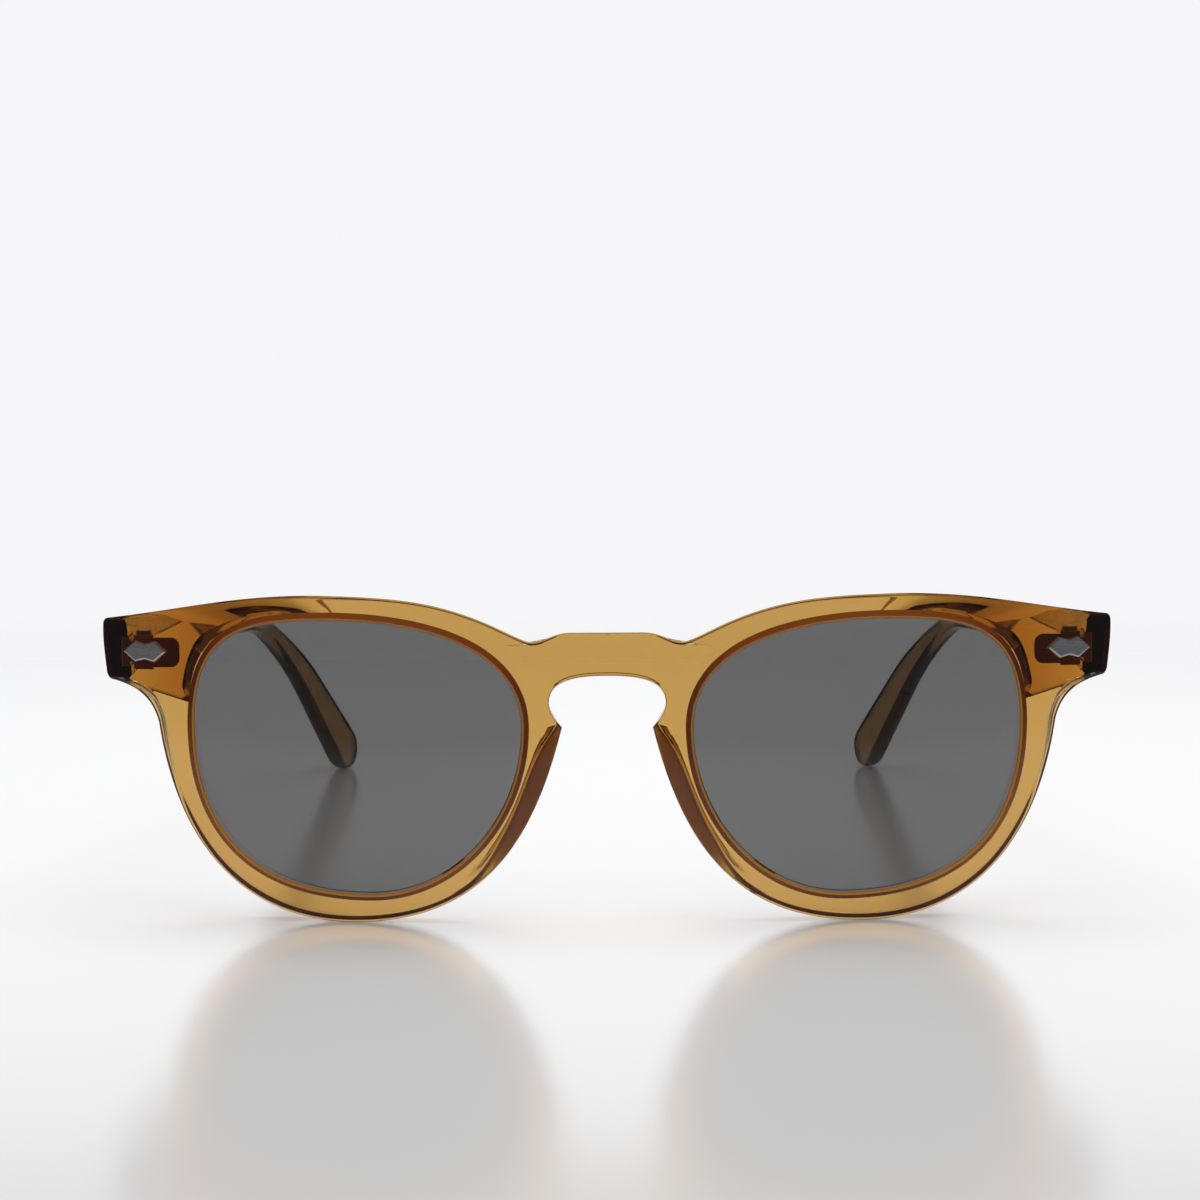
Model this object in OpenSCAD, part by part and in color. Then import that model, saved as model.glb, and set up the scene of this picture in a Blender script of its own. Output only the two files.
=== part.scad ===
// Square keyhole-bridge sunglasses: a moulded front, two lenses, two folding temples
// on five-barrel hinges, and a double-diamond plaque on each end piece.
// X runs along the front, -Y is the way the wearer looks, +Z is up.
// The open glasses stand on their rims and temple tips at Z = 0.

/* [Front] */
// Width of the front over the end pieces
front_w = 142.7; // [138:0.1:150]
// Thickness of the rims and the bridge
front_t = 3.9; // [3.4:0.1:4.6]
// Radius of the front's curve, seen from above
face_r = 360; // [300:10:600]
// Radius of the front's curve, seen from the side
brow_r = 330; // [250:10:600]
// Extra sweep of the end pieces, per mm squared
end_sweep = 0.002; // [0:0.0005:0.003]
// Distance from the middle at which the end pieces start to sweep back
sweep_x = 45; // [40:1:55]
// Width and depth of the bevel round the outer edge, over the top
edge_bevel = 0.3; // [0.2:0.05:0.6]
// Width and depth of that bevel round the rims
rim_bevel = 0.8; // [0.4:0.1:1.2]
// Width of that bevel at the waist under an end piece
waist_bevel = 1.6; // [0.8:0.1:2]
// Inset of the back's upper edge from the face's
top_draft = 0.45; // [0:0.05:0.6]
// Width and depth of the bevel round the back edge
back_bevel = 0.3; // [0.2:0.05:0.6]

/* [Lens openings] */
// Width of one opening
lens_w = 46.2; // [44:0.1:50]
// Height of one opening
lens_h = 38.6; // [35:0.1:42]
// Gap between the two openings
lens_gap = 23.8; // [22:0.1:26]
// Level of the openings' widest line, as a share of their height
side_level = 0.61; // [0.55:0.01:0.66]
// Width of the bevel between the face and an opening
lip_w = 0.3; // [0.2:0.05:0.8]
// Depth of the bevel between the face and an opening
lip_d = 0.35; // [0.2:0.05:0.7]
// Depth of the lens groove
groove_d = 1.25; // [0.9:0.05:1.3]
// Width of the lens groove at its mouth
groove_w = 2.1; // [1.8:0.05:2.2]

/* [Rims] */
// Height of the rim under an opening
rim_bottom = 3.9; // [3.2:0.1:5]
// Height of the rim over an opening
rim_top = 3.5; // [3:0.1:5]
// Width of the rim beside an opening, at the end of the end piece
rim_side = 5.3; // [4.5:0.1:6.5]

/* [Bridge] */
// Height of the bridge's top edge
bridge_top = 40.9; // [39:0.1:42]
// Width of the straight stretch of that edge
bridge_flat_w = 10; // [8:0.5:12]
// Distance between the two dips beside the bridge
dip_w = 21.8; // [20.5:0.1:23]
// Height of the dips
dip_z = 39.35; // [38.5:0.05:40]
// Height of the keyhole's arch
arch_z = 34.9; // [34:0.1:36]
// Width of the keyhole
keyhole_w = 16.2; // [15:0.1:17]
// Height of the keyhole's widest line
keyhole_z = 31.1; // [30.5:0.1:31.6]
// Distance between the two cusps under the keyhole
cusp_w = 12.6; // [11.5:0.1:13.4]
// Height of the cusps
cusp_z = 27.75; // [27.2:0.05:28.3]
// Height of the moulded nose pads over the back of the rim
pad_d = 4.6; // [3:0.1:6]
// Splay of the nose pads' sides away from the nose, at the back
pad_splay = 2.4; // [1:0.1:2.6]
// Fall of the pads' backs towards the openings, as a share of their height
pad_lean = 0.15; // [0:0.05:0.3]

/* [End pieces] */
// Height of the end piece's upper corner
end_top = 42.55; // [41.5:0.05:43]
// Height of the end piece's lower corner
end_bottom = 33.75; // [33:0.05:34.5]
// Lean of the end piece's outer edge, from top to bottom
end_lean = 0.5; // [0:0.1:1]
// Thickness of the end piece at its outer edge
end_t = 4.8; // [4.2:0.1:6]
// Length of the thick block behind the end piece
block_l = 9.4; // [9:0.1:11]
// Length of the slope that rises to that block
flank_l = 6; // [3:0.5:8]
// Height of the foot of that block
block_foot = 32.2; // [31:0.1:33]

/* [Lenses] */
// Thickness of a lens
lens_t = 1.7; // [1.5:0.05:1.8]
// Forward bulge of a lens past the curve of the front
lens_bulge = 0.6; // [0:0.1:0.9]
// Clearance of a lens in its groove
lens_fit = 0.12; // [0.08:0.01:0.2]

/* [Plaques] */
// Length of a plaque over its two points
plaque_l = 6.4; // [5.5:0.1:7]
// Height of a plaque
plaque_h = 2.86; // [2.4:0.02:3.2]
// Distance between the middles of its two diamonds
plaque_pitch = 2.9; // [2.4:0.1:3.2]
// Depth of the waist between the diamonds
plaque_notch = 0.37; // [0.2:0.01:0.6]
// Thickness of a plaque
plaque_t = 0.7; // [0.6:0.05:1]
// Height of a plaque over the face
plaque_proud = 0.25; // [0.15:0.05:0.4]
// Distance from the end of the front to a plaque's middle
plaque_inset = 6.2; // [5.8:0.1:7]
// Height of a plaque's middle
plaque_z = 37.9; // [37.5:0.1:38.5]
// Diameter of a plaque's two stems
stem_dia = 0.9; // [0.7:0.1:1.1]
// Length of a plaque's two stems
stem_l = 1.4; // [1:0.1:1.8]

/* [Hinges] */
// Diameter of a barrel
barrel_dia = 2.8; // [2.4:0.1:3]
// Height of one of the five barrels
barrel_h = 0.9; // [0.8:0.05:1]
// Gap between two barrels
barrel_gap = 0.06; // [0.04:0.01:0.1]
// Gap between the barrels and the temple's inner face
barrel_clear = 0.9; // [0.8:0.05:1.1]
// Gap between the barrels and the end piece
barrel_stand = 0.35; // [0.25:0.05:0.6]
// Height of the middle of the hinge
hinge_z = 37.3; // [37:0.1:37.8]
// Height of a hinge plate
plate_h = 4.1; // [3.8:0.1:4.3]
// Thickness of a hinge plate
plate_t = 1.1; // [0.9:0.05:1.2]
// Length of a hinge plate
plate_l = 6.6; // [6:0.1:7]
// Radius of the round corners of a hinge plate
plate_r = 1.2; // [0.8:0.1:1.6]
// Diameter of the hinge screw
screw_dia = 1.4; // [1.2:0.1:1.6]
// Diameter of the screw's head
head_dia = 2.3; // [2.1:0.1:2.5]
// Height of the screw's head
head_h = 0.55; // [0.4:0.05:0.7]
// Running clearance of the screw in the barrels, each side
screw_fit = 0.05; // [0.02:0.01:0.08]
// Clearance between metal and plastic
seat_fit = 0.05; // [0.03:0.01:0.1]

/* [Temples] */
// Thickness of a temple
temple_t = 3.4; // [3:0.1:4]
// Inset of a temple's outer face from the end of the front
temple_inset = 0.15; // [0:0.05:0.5]
// Gap between an open temple and its end piece
butt_gap = 0.05; // [0.03:0.01:0.1]
// Length of the straight part
straight_l = 92; // [88:1:96]
// Height of the temple's spine at the hinge
spine_z = 39.4; // [39:0.1:39.8]
// Downward slope of the straight part, in degrees
slope = 5.2; // [4.8:0.1:5.4]
// Inward yaw of the straight part, in degrees
yaw = 4.3; // [4:0.1:5]
// Radius of the bend over the ear
bend_r = 58; // [52:1:60]
// Downward slope of the tip, in degrees
tip_slope = 53; // [50:1:54]
// Inward yaw of the tip, in degrees
tip_yaw = 23.4; // [20:0.1:26]
// Outward lean of the temple's top at the hinge, in degrees
temple_lean = 6; // [0:0.5:7]
// Radius of the temple's long edges
temple_edge = 1.2; // [0.6:0.1:1.5]
// Length of the rounding at the tip's end
tip_round = 5; // [4:0.5:7]

/* [Hidden] */
$fn = 48;

amber = [0.72, 0.47, 0.12];
lens_grey = [0.36, 0.36, 0.37];
silver = [0.78, 0.78, 0.8];
steel = [0.62, 0.62, 0.64];

// Small helpers for curves
function ease(t) = let (c = min(1, max(0, t))) c * c * (3 - 2 * c);
function mix(a, b, t) = a + (b - a) * t;
function unit2(v) = v / norm(v);
function left_of(v) = [-v[1], v[0]];
function bezier(p, t) =
    pow(1 - t, 3) * p[0] + 3 * pow(1 - t, 2) * t * p[1] + 3 * (1 - t) * t * t * p[2] + pow(t, 3) * p[3];
function bezier_dir(p, t) = unit2(
    pow(1 - t, 2) * (p[1] - p[0]) + 2 * (1 - t) * t * (p[2] - p[1]) + t * t * (p[3] - p[2]));

// Box of one lens opening, on the +X side
open_x0 = lens_gap / 2;
open_x1 = open_x0 + lens_w;
open_z0 = rim_bottom;
open_z1 = open_z0 + lens_h;
half_w = front_w / 2;
front_top = open_z1 + rim_top;
mid_z = open_z0 + lens_h / 2;

// The opening: four curves between its highest, outermost, lowest and innermost points
top_share = 0.588;
low_share = 0.468;
lens_top = [open_x0 + top_share * lens_w, open_z1];
lens_out = [open_x1, open_z0 + side_level * lens_h];
lens_low = [open_x0 + low_share * lens_w, open_z0];
lens_in = [open_x0, open_z0 + side_level * lens_h];
// Pull of each curve's two handles, as shares of the box between its ends
pulls = [[0.6, 0.92], [0.66, 0.64], [0.59, 0.505], [0.8, 0.436]];
function level_first(a, b, pull) =
    [a, [mix(a[0], b[0], pull[0]), a[1]], [b[0], mix(b[1], a[1], pull[1])], b];
function level_last(a, b, pull) =
    [a, [a[0], mix(a[1], b[1], pull[0])], [mix(b[0], a[0], pull[1]), b[1]], b];
lens_curves = [
    level_first(lens_top, lens_out, pulls[0]),
    level_last(lens_out, lens_low, pulls[1]),
    level_first(lens_low, lens_in, pulls[2]),
    level_last(lens_in, lens_top, pulls[3])
];
// turn runs from 0 at the top of the opening, clockwise, to 4
function lens_at(turn) = let (u = turn % 4) bezier(lens_curves[floor(u)], u - floor(u));
function lens_normal(turn) = let (u = turn % 4) left_of(bezier_dir(lens_curves[floor(u)], u - floor(u)));

// Depth of the front's face behind its foremost plane
function face_y(x, z) =
    x * x / (2 * face_r) + pow(z - mid_z, 2) / (2 * brow_r) + end_sweep * pow(max(0, abs(x) - sweep_x), 2);
function face_slope_x(x) = x / face_r + 2 * end_sweep * max(0, x - sweep_x);
function face_slope_z(z) = (z - mid_z) / brow_r;

// Seat of the temples, hinge axis and temple start
seat_y = face_y(half_w, hinge_z) + end_t;
temple_x = half_w - temple_inset - temple_t / 2;
axis_x = half_w - temple_inset - temple_t - barrel_clear - barrel_dia / 2;
axis_y = seat_y + barrel_stand + barrel_dia / 2;
butt_y = seat_y + butt_gap;

// Corner points of the outline, on the +X side
bridge_mid = [0, bridge_top];
bridge_end = [bridge_flat_w / 2, bridge_top];
dip = [dip_w / 2, dip_z];
brow_offset = 1.5;
waist_rise = 0.3;
low_offset = 2.5;
upper_corner = [0.7, 0.95];
lower_corner = [1, 1.15];
brow = [lens_top[0] + brow_offset, front_top];
end_a = [half_w - upper_corner[0], end_top];
end_b = [half_w, end_top - upper_corner[1]];
end_c = [half_w - end_lean, end_bottom + lower_corner[1]];
end_d = [half_w - end_lean - lower_corner[0], end_bottom];
waist = [open_x1 + rim_side, lens_out[1] + waist_rise];
rim_low = [lens_low[0] + low_offset, 0];
cusp = [cusp_w / 2, cusp_z];
keyhole_side = [keyhole_w / 2, keyhole_z];
arch = [0, arch_z];

// Each stretch of the outline: curve, stations, and the turn of the opening at its two ends.
// A curve's two handles are offsets from its ends, in mm.
outline = [
    [[bridge_mid, mix(bridge_mid, bridge_end, 1 / 3), mix(bridge_mid, bridge_end, 2 / 3), bridge_end],
        2, 3.33, 3.37],
    [[bridge_end, bridge_end + [2.7, 0], dip + [-1.9, 0], dip], 4, 3.37, 3.43],
    [[dip, dip + [11.2, 6.1], brow + [-12.1, -0.3], brow], 10, 3.43, 4],
    [[brow, brow + [11.6, 0], end_a + [-11.6, 1.5], end_a], 10, 4, 4.6],
    [[end_a, end_a + [0.45, -0.05], end_b + [0, 0.5], end_b], 3, 4.6, 4.66],
    [[end_b, end_b + [0.1, -2.2], end_c + [0.25, 2.2], end_c], 4, 4.66, 4.84],
    [[end_c, end_c + [-0.08, -0.6], end_d + [0.5, 0.15], end_d], 3, 4.84, 4.88],
    [[end_d, end_d + [-4.2, -1.1], waist + [0.75, 2.75], waist], 7, 4.88, 5],
    [[waist, waist + [-2.2, -14.5], rim_low + [17.3, 0], rim_low], 14, 5, 5.95],
    [[rim_low, rim_low + [-18.2, 0], cusp + [4.1, -16.5], cusp], 17, 5.95, 6.97],
    [[cusp, cusp + [0.55, 0.55], keyhole_side + [0, -1.3], keyhole_side], 3, 6.97, 7.06],
    [[keyhole_side, keyhole_side + [0, 3.5], arch + [3.5, 0], arch], 6, 7.06, 7.22]
];
nose_stretch = 9;
cusp_stretch = 10;
middle_steps = 3;

// Stations round the half front: outline point, turn of the opening, stretch, share of the stretch
outer_stations = [
    for (k = [0:len(outline) - 1])
        let (o = outline[k])
        for (j = [0:o[1] - 1])
            let (t = j / o[1]) [bezier(o[0], t), mix(o[2], o[3], t), k, t]
];
n_outer = len(outer_stations);
arch_station = [arch, 7.22, len(outline), 0];
middle_stations = [
    for (j = [1:middle_steps])
        let (t = j / (middle_steps + 1))
        [[0, mix(arch_z + edge_bevel, bridge_top - edge_bevel, t)], mix(7.22, 7.33, t), len(outline), t]
];
stations = concat(outer_stations, [arch_station], middle_stations);
n_stations = len(stations);

function is_middle(i) = i > n_outer;
function outer_normal(i) =
    i == 0 ? [0, 1]
    : i == n_outer ? [0, -1]
    : is_middle(i) ? [0, 0]
    : left_of(unit2(stations[i + 1][0] - stations[i - 1][0]));

// What changes along the outline: pairs of a place, as stretch and share, and a value there
edge_widths = [
    [6.6, edge_bevel], [7.4, mix(edge_bevel, waist_bevel, 0.7)], [8, waist_bevel],
    [8.6, rim_bevel], [9.3, rim_bevel], [9.6, edge_bevel]
];
edge_depths = [[6.6, edge_bevel], [8, rim_bevel], [9.3, rim_bevel], [9.6, edge_bevel]];
side_draft = 0.1;
back_insets = [
    [6, top_draft], [7, side_draft], [9.3, side_draft], [9.48, 0.33 * pad_splay], [9.58, 0.62 * pad_splay],
    [9.77, 0.96 * pad_splay], [9.85, pad_splay], [9.92, 0.8 * pad_splay], [10, side_draft], [12, side_draft]
];
pad_shares = [
    [9.4, 0], [9.47, 0.2], [9.59, 0.8], [9.66, 1], [9.93, 1], [10, 0.72], [10.5, 0.5], [11, 0.22], [11.4, 0]
];
function place(i) = stations[i][2] + stations[i][3];
function pad_share(i) = lookup(place(i), pad_shares);
// Share of the end block at a station: full over the end piece, none on the rims
foot_rise = 0.2;
function block_share(i) =
    let (p = stations[i][0])
    ease((p[0] - half_w + block_l + flank_l) / flank_l) * ease((p[1] - block_foot) / foot_rise);
// Places on the way over the back from the outline to the opening: on the rims, and where pad or block rises
rim_back = [1 / 3, 2 / 3];
thick_back = [0.8, 0.94];
back_lip = 0.5;

// Points of one station, from the groove over the face and round the back
function on_face(p, depth) = [p[0], face_y(p[0], p[1]) + depth, p[1]];
function station_points(i) =
    let (
        s = stations[i],
        o = s[0],
        q = lens_at(s[1]),
        nq = lens_normal(s[1]),
        no = outer_normal(i),
        pad = pad_share(i),
        block = block_share(i),
        thick = max(pad, block),
        inset = lookup(place(i), back_insets),
        face_in = q + nq * lip_w,
        face_out = o - no * lookup(place(i), edge_widths),
        back_in = q + nq * back_lip,
        side_back = o - no * inset,
        back_out = o - no * (inset + back_bevel),
        back_2 = mix(back_out, back_in, mix(rim_back[0], thick_back[0], thick)),
        back_1 = mix(back_out, back_in, mix(rim_back[1], thick_back[1], thick)),
        rise_2 = pad * pad_d * (1 - pad_lean * thick_back[0]),
        out_y = mix(face_y(back_out[0], back_out[1]) + front_t + pad * pad_d, seat_y, block),
        in_y = mix(face_y(back_2[0], back_2[1]) + front_t + rise_2, seat_y, block)
    )
    [
        on_face(q, lens_mid - groove_w / 2),
        on_face(q, lip_d),
        on_face(face_in, 0),
        on_face(mix(face_in, face_out, 0.5), 0),
        on_face(face_out, 0),
        on_face(o, lookup(place(i), edge_depths)),
        [side_back[0], out_y - back_bevel, side_back[1]],
        [back_out[0], out_y, back_out[1]],
        [back_2[0], in_y, back_2[1]],
        on_face(back_1, front_t),
        on_face(back_in, front_t),
        on_face(q, front_t - back_lip),
        on_face(q, lens_mid + groove_w / 2),
        on_face(q + nq * groove_d, lens_mid)
    ];
lens_share = 0.54;
lens_mid = lens_share * front_t;

rings = [for (i = [0:n_stations - 1]) station_points(i)];
n_ring = len(rings[0]);
half_points = [for (r = rings) for (p = r) p];
n_half = len(half_points);
front_points = concat(half_points, [for (p = half_points) [-p[0], p[1], p[2]]]);

// Two triangles per patch; the patches inside the bridge's middle plane are left out
function half_index(i, j) = (i % n_stations) * n_ring + (j % n_ring);
function twin(k) = abs(half_points[k][0]) < 0.000001 ? k : k + n_half;
function inside_bridge(i, j) = i >= n_outer && j >= 4 && j <= 6;
half_faces = [
    for (i = [0:n_stations - 1])
        for (j = [0:n_ring - 1])
            if (!inside_bridge(i, j))
                let (
                    a = half_index(i, j),
                    b = half_index(i + 1, j),
                    c = half_index(i + 1, j + 1),
                    d = half_index(i, j + 1)
                )
                each [[a, c, b], [a, d, c]]
];
front_faces = concat(
    half_faces,
    [for (f = half_faces) [twin(f[2]), twin(f[1]), twin(f[0])]]
);

// Lens: rings of points that shrink towards its middle, on a front and a back surface
lens_centre = [(open_x0 + open_x1) / 2, mid_z];
lens_rings = [1, 0.72, 0.36];
function lens_point(i, share, side) =
    let (
        edge = lens_at(stations[i][1]) - lens_normal(stations[i][1]) * lens_fit,
        p = mix(lens_centre, edge, share)
    )
    on_face(p, lens_mid + side * lens_t / 2 - lens_bulge * (1 - share * share));
// The slanted sides of the groove and of the lens edge keep lens_fit, so their points are further apart
apex_fit = 1.5 * lens_fit;
function lens_apex(i) =
    on_face(lens_at(stations[i][1]) + lens_normal(stations[i][1]) * (groove_d - apex_fit), lens_mid);
lens_points = concat(
    [on_face(lens_centre, lens_mid - lens_t / 2 - lens_bulge)],
    [for (k = [len(lens_rings) - 1:-1:0]) for (i = [0:n_stations - 1]) lens_point(i, lens_rings[k], -1)],
    [for (i = [0:n_stations - 1]) lens_apex(i)],
    [for (share = lens_rings) for (i = [0:n_stations - 1]) lens_point(i, share, 1)],
    [on_face(lens_centre, lens_mid + lens_t / 2 - lens_bulge)]
);
function lens_index(k, i) = 1 + k * n_stations + (i % n_stations);
n_lens_rings = 2 * len(lens_rings) + 1;
lens_last = len(lens_points) - 1;
lens_faces = concat(
    [for (i = [0:n_stations - 1]) [0, lens_index(0, i), lens_index(0, i + 1)]],
    [
        for (k = [0:n_lens_rings - 2])
            for (i = [0:n_stations - 1])
                let (
                    a = lens_index(k, i),
                    b = lens_index(k + 1, i),
                    c = lens_index(k + 1, i + 1),
                    d = lens_index(k, i + 1)
                )
                each [[a, b, c], [a, c, d]]
    ],
    [for (i = [0:n_stations - 1])
        [lens_last, lens_index(n_lens_rings - 1, i + 1), lens_index(n_lens_rings - 1, i)]]
);

// Temple: sections along a spine that runs straight, bends over the ear and ends in a paddle
bend_l = bend_r * (tip_slope - slope) * PI / 180;
straight_steps = 14;
bend_steps = 12;
tip_steps = 12;
function temple_lengths(tip_l) = concat(
    [for (k = [0:straight_steps]) straight_l * k / straight_steps],
    [for (k = [1:bend_steps]) straight_l + bend_l * k / bend_steps],
    [for (k = [1:tip_steps]) straight_l + bend_l + tip_l * sin(90 * k / tip_steps)]
);
function spine_slope(s) = mix(slope, tip_slope, min(1, max(0, (s - straight_l) / bend_l)));
function spine_yaw(s) = mix(yaw, tip_yaw, ease((s - straight_l) / bend_l));
function spine_dir(s) =
    let (a = spine_slope(s), h = spine_yaw(s)) [-sin(h) * cos(a), cos(h) * cos(a), -sin(a)];
function spine_points(lengths, k = 0, at = [temple_x, butt_y, spine_z]) =
    k == len(lengths) - 1 ? [at]
    : concat(
        [at],
        spine_points(lengths, k + 1,
            at + (lengths[k + 1] - lengths[k]) * spine_dir((lengths[k] + lengths[k + 1]) / 2))
    );
// Height of the temple over and under its spine: at the hinge, where the taper ends, at the bend, at the paddle
taper_l = 45;
paddle_l = 50;
over = [2.8, 2.6, 1.7, 2.7];
under = [6.2, 2.1, 1.7, 3];
function spine_height(s, h) =
    s < taper_l ? mix(h[0], h[1], ease(s / taper_l))
    : s < straight_l ? mix(h[1], h[2], ease((s - taper_l) / (straight_l - taper_l)))
    : mix(h[2], h[3], ease((s - straight_l) / paddle_l));
function tip_scale(s, total) =
    let (into = (s - (total - tip_round)) / tip_round) into <= 0 ? 1 : sqrt(max(0.01, 1 - into * into));
// Round rectangle between -w and w across, and -down and up along the height
edge_steps = 3;
function section(w, up, down, r) = [
    for (c = [[1, up, 0], [-1, up, 90], [-1, -down, 180], [1, -down, 270]])
        for (k = [0:edge_steps])
            let (a = c[2] + 90 * k / edge_steps)
            [c[0] * (w - r) + r * cos(a), c[1] - sign(c[1]) * r + r * sin(a)]
];
lean_l = 60;
tip_thin = 0.7;
fullest_edge = 0.95;
function temple_ring(s, at, total) =
    let (
        d = spine_dir(s),
        h = spine_yaw(s),
        across = [cos(h), sin(h), 0],
        upward = cross(across, d),
        lean = temple_lean * (1 - ease(s / lean_l)),
        side = across * cos(lean) - upward * sin(lean),
        height = upward * cos(lean) + across * sin(lean),
        f = tip_scale(s, total),
        w = temple_t / 2 * mix(tip_thin, 1, f),
        up = spine_height(s, over) * f,
        down = spine_height(s, under) * f
    )
    [for (p = section(w, up, down, min(temple_edge, w * fullest_edge, up * fullest_edge)))
        at + side * p[0] + height * p[1]];
function on_butt(p) = p + spine_dir(0) * (butt_y - p[1]) / spine_dir(0)[1];
function temple_rings(tip_l) =
    let (
        lengths = temple_lengths(tip_l),
        total = straight_l + bend_l + tip_l,
        spine = spine_points(lengths)
    )
    [for (k = [0:len(lengths) - 1])
        let (ring = temple_ring(lengths[k], spine[k], total))
        k == 0 ? [for (p = ring) on_butt(p)] : ring];
// The tip is as long as it takes to reach the table
trial_tip_l = 10;
trial_low = min([for (r = temple_rings(trial_tip_l)) for (p = r) p[2]]);
tip_l = trial_tip_l + trial_low / sin(tip_slope);
temple_sections = temple_rings(tip_l);
n_section = len(temple_sections[0]);
n_sections = len(temple_sections);
temple_points = [for (r = temple_sections) for (p = r) p];
temple_faces = concat(
    [[for (j = [n_section - 1:-1:0]) j]],
    [
        for (i = [0:n_sections - 2])
            for (j = [0:n_section - 1])
                let (
                    a = i * n_section + j,
                    b = i * n_section + (j + 1) % n_section,
                    c = b + n_section,
                    d = a + n_section
                )
                each [[a, c, d], [a, b, c]]
    ],
    [[for (j = [0:n_section - 1]) (n_sections - 1) * n_section + j]]
);

// The origin lies under the middle of the open glasses
fore_y = min([for (p = half_points) p[1]]);
rear_y = max([for (p = temple_points) p[1]]);
depth_shift = -(fore_y + rear_y) / 2;
echo(axis = [axis_x, axis_y + depth_shift, hinge_z], shift = depth_shift, tip_l = tip_l,
    seat = seat_y + depth_shift, fore = fore_y, rear = rear_y,
    triangles = len(front_faces) + 2 * len(lens_faces) + 2 * len(temple_faces));

module placed(side) {
    translate([0, depth_shift, 0]) mirror([side < 0 ? 1 : 0, 0, 0]) children();
}

// Places its children on the face, over the middle of a plaque, with -Y outwards
module on_plaque_spot() {
    x = half_w - plaque_inset;
    turn = atan(face_slope_x(x));
    translate([x, face_y(x, plaque_z), plaque_z])
        rotate([-atan(face_slope_z(plaque_z) * cos(turn)), 0, turn])
            children();
}

// How far the plaque's points move outwards where its sides grow by 1
tip_growth = 1.4;
mid_growth = 0.4;
module plaque_outline(grow = 0) {
    tip = plaque_l / 2 + tip_growth * grow;
    mid = plaque_pitch / 2 + mid_growth * grow;
    high = plaque_h / 2 + grow;
    waist_h = high - plaque_notch;
    polygon([
        [-tip, 0], [-mid, high], [0, waist_h], [mid, high],
        [tip, 0], [mid, -high], [0, -waist_h], [-mid, -high]
    ]);
}

// Solid that stands on the face from its depth up to a height over it
module plaque_block(depth, height, grow = 0) {
    translate([0, depth, 0]) rotate([90, 0, 0]) linear_extrude(depth + height) plaque_outline(grow);
}

stem_sink = 0.2;
module plaque_stems(grow = 0, extra = 0) {
    for (s = [-1, 1])
        translate([s * plaque_pitch / 2, plaque_t - plaque_proud - stem_sink, 0])
            rotate([-90, 0, 0]) cylinder(d = stem_dia + 2 * grow, h = stem_l + stem_sink + extra);
}

module plaque(side) {
    rim = 0.2;
    rim_scale = 0.93;
    color(silver) placed(side) on_plaque_spot() union() {
        plaque_block(plaque_t - plaque_proud, plaque_proud - rim);
        translate([0, rim - plaque_proud, 0]) rotate([90, 0, 0])
            linear_extrude(rim, scale = rim_scale) plaque_outline();
        plaque_stems();
    }
}

module plaque_pocket() {
    over_face = 2;
    on_plaque_spot() {
        plaque_block(plaque_t - plaque_proud + seat_fit, over_face, seat_fit);
        plaque_stems(seat_fit, seat_fit);
    }
}

// A plate seen from the back: x from 0 to l, round at its far corners
module plate_outline(l, grow = 0) {
    half = plate_h / 2 + grow;
    r = plate_r + grow;
    translate([0, -half]) square([l + grow - r, 2 * half]);
    translate([l + grow - 2 * r, -half + r]) square([2 * r, 2 * (half - r)]);
    for (s = [-1, 1]) translate([l + grow - r, s * (half - r)]) circle(r = r);
}

// Plate let into the end block, its back flush with the seat
module front_plate(grow = 0) {
    translate([axis_x + barrel_dia / 2 + grow, seat_y, hinge_z])
        mirror([1, 0, 0])
            rotate([90, 0, 0]) linear_extrude(plate_t + grow) plate_outline(plate_l, grow);
}

stack_h = 5 * barrel_h + 4 * barrel_gap;
function barrel_z(k) = hinge_z - stack_h / 2 + k * (barrel_h + barrel_gap);

module barrels(picks, web) {
    difference() {
        for (k = picks) {
            translate([axis_x, axis_y, barrel_z(k)]) cylinder(d = barrel_dia, h = barrel_h);
            translate([0, 0, barrel_z(k)]) linear_extrude(barrel_h) polygon(web);
        }
        translate([axis_x, axis_y, barrel_z(0) - 1])
            cylinder(d = screw_dia + 2 * screw_fit, h = stack_h + 2);
    }
}

// Notch in the end block for the webs of the barrels, which stand taller than the plate
web_sink = plate_t / 2;
module web_notch() {
    translate([axis_x - barrel_dia / 2 - seat_fit, seat_y - web_sink - seat_fit, barrel_z(0) - seat_fit])
        cube([barrel_dia + 2 * seat_fit, 2 * web_sink, stack_h + 2 * seat_fit]);
}

module front_hinge(side) {
    web = [
        [axis_x - barrel_dia / 2, axis_y],
        [axis_x - barrel_dia / 2, seat_y - web_sink],
        [axis_x + barrel_dia / 2, seat_y - web_sink],
        [axis_x + barrel_dia / 2, axis_y]
    ];
    color(steel) placed(side) union() {
        front_plate();
        barrels([0, 2, 4], web);
    }
}

// Inner face of the temple at the hinge's level, and the plate that lies in it
lean_in = (spine_z - hinge_z) * tan(temple_lean);
inner_x = temple_x - temple_t / 2 - lean_in;
plate_start = 0.3;
module on_inner_face() {
    translate([inner_x, butt_y, hinge_z]) rotate([0, 0, yaw]) children();
}

module temple_plate(grow = 0, out = 0) {
    on_inner_face()
        translate([-out, plate_start - grow, 0]) rotate([90, 0, 90])
            linear_extrude(plate_t + grow + out) plate_outline(plate_l + grow, grow);
}

module temple_hinge(side) {
    reach = plate_t / 2;
    x_front = inner_x - tan(yaw) * (axis_y - barrel_dia / 2 - butt_y) + reach;
    x_back = inner_x - tan(yaw) * (axis_y + barrel_dia / 2 - butt_y) + reach;
    web = [
        [axis_x, axis_y - barrel_dia / 2],
        [x_front, axis_y - barrel_dia / 2],
        [x_back, axis_y + barrel_dia / 2],
        [axis_x, axis_y + barrel_dia / 2]
    ];
    color(steel) placed(side) union() {
        temple_plate();
        barrels([1, 3], web);
    }
}

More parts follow.
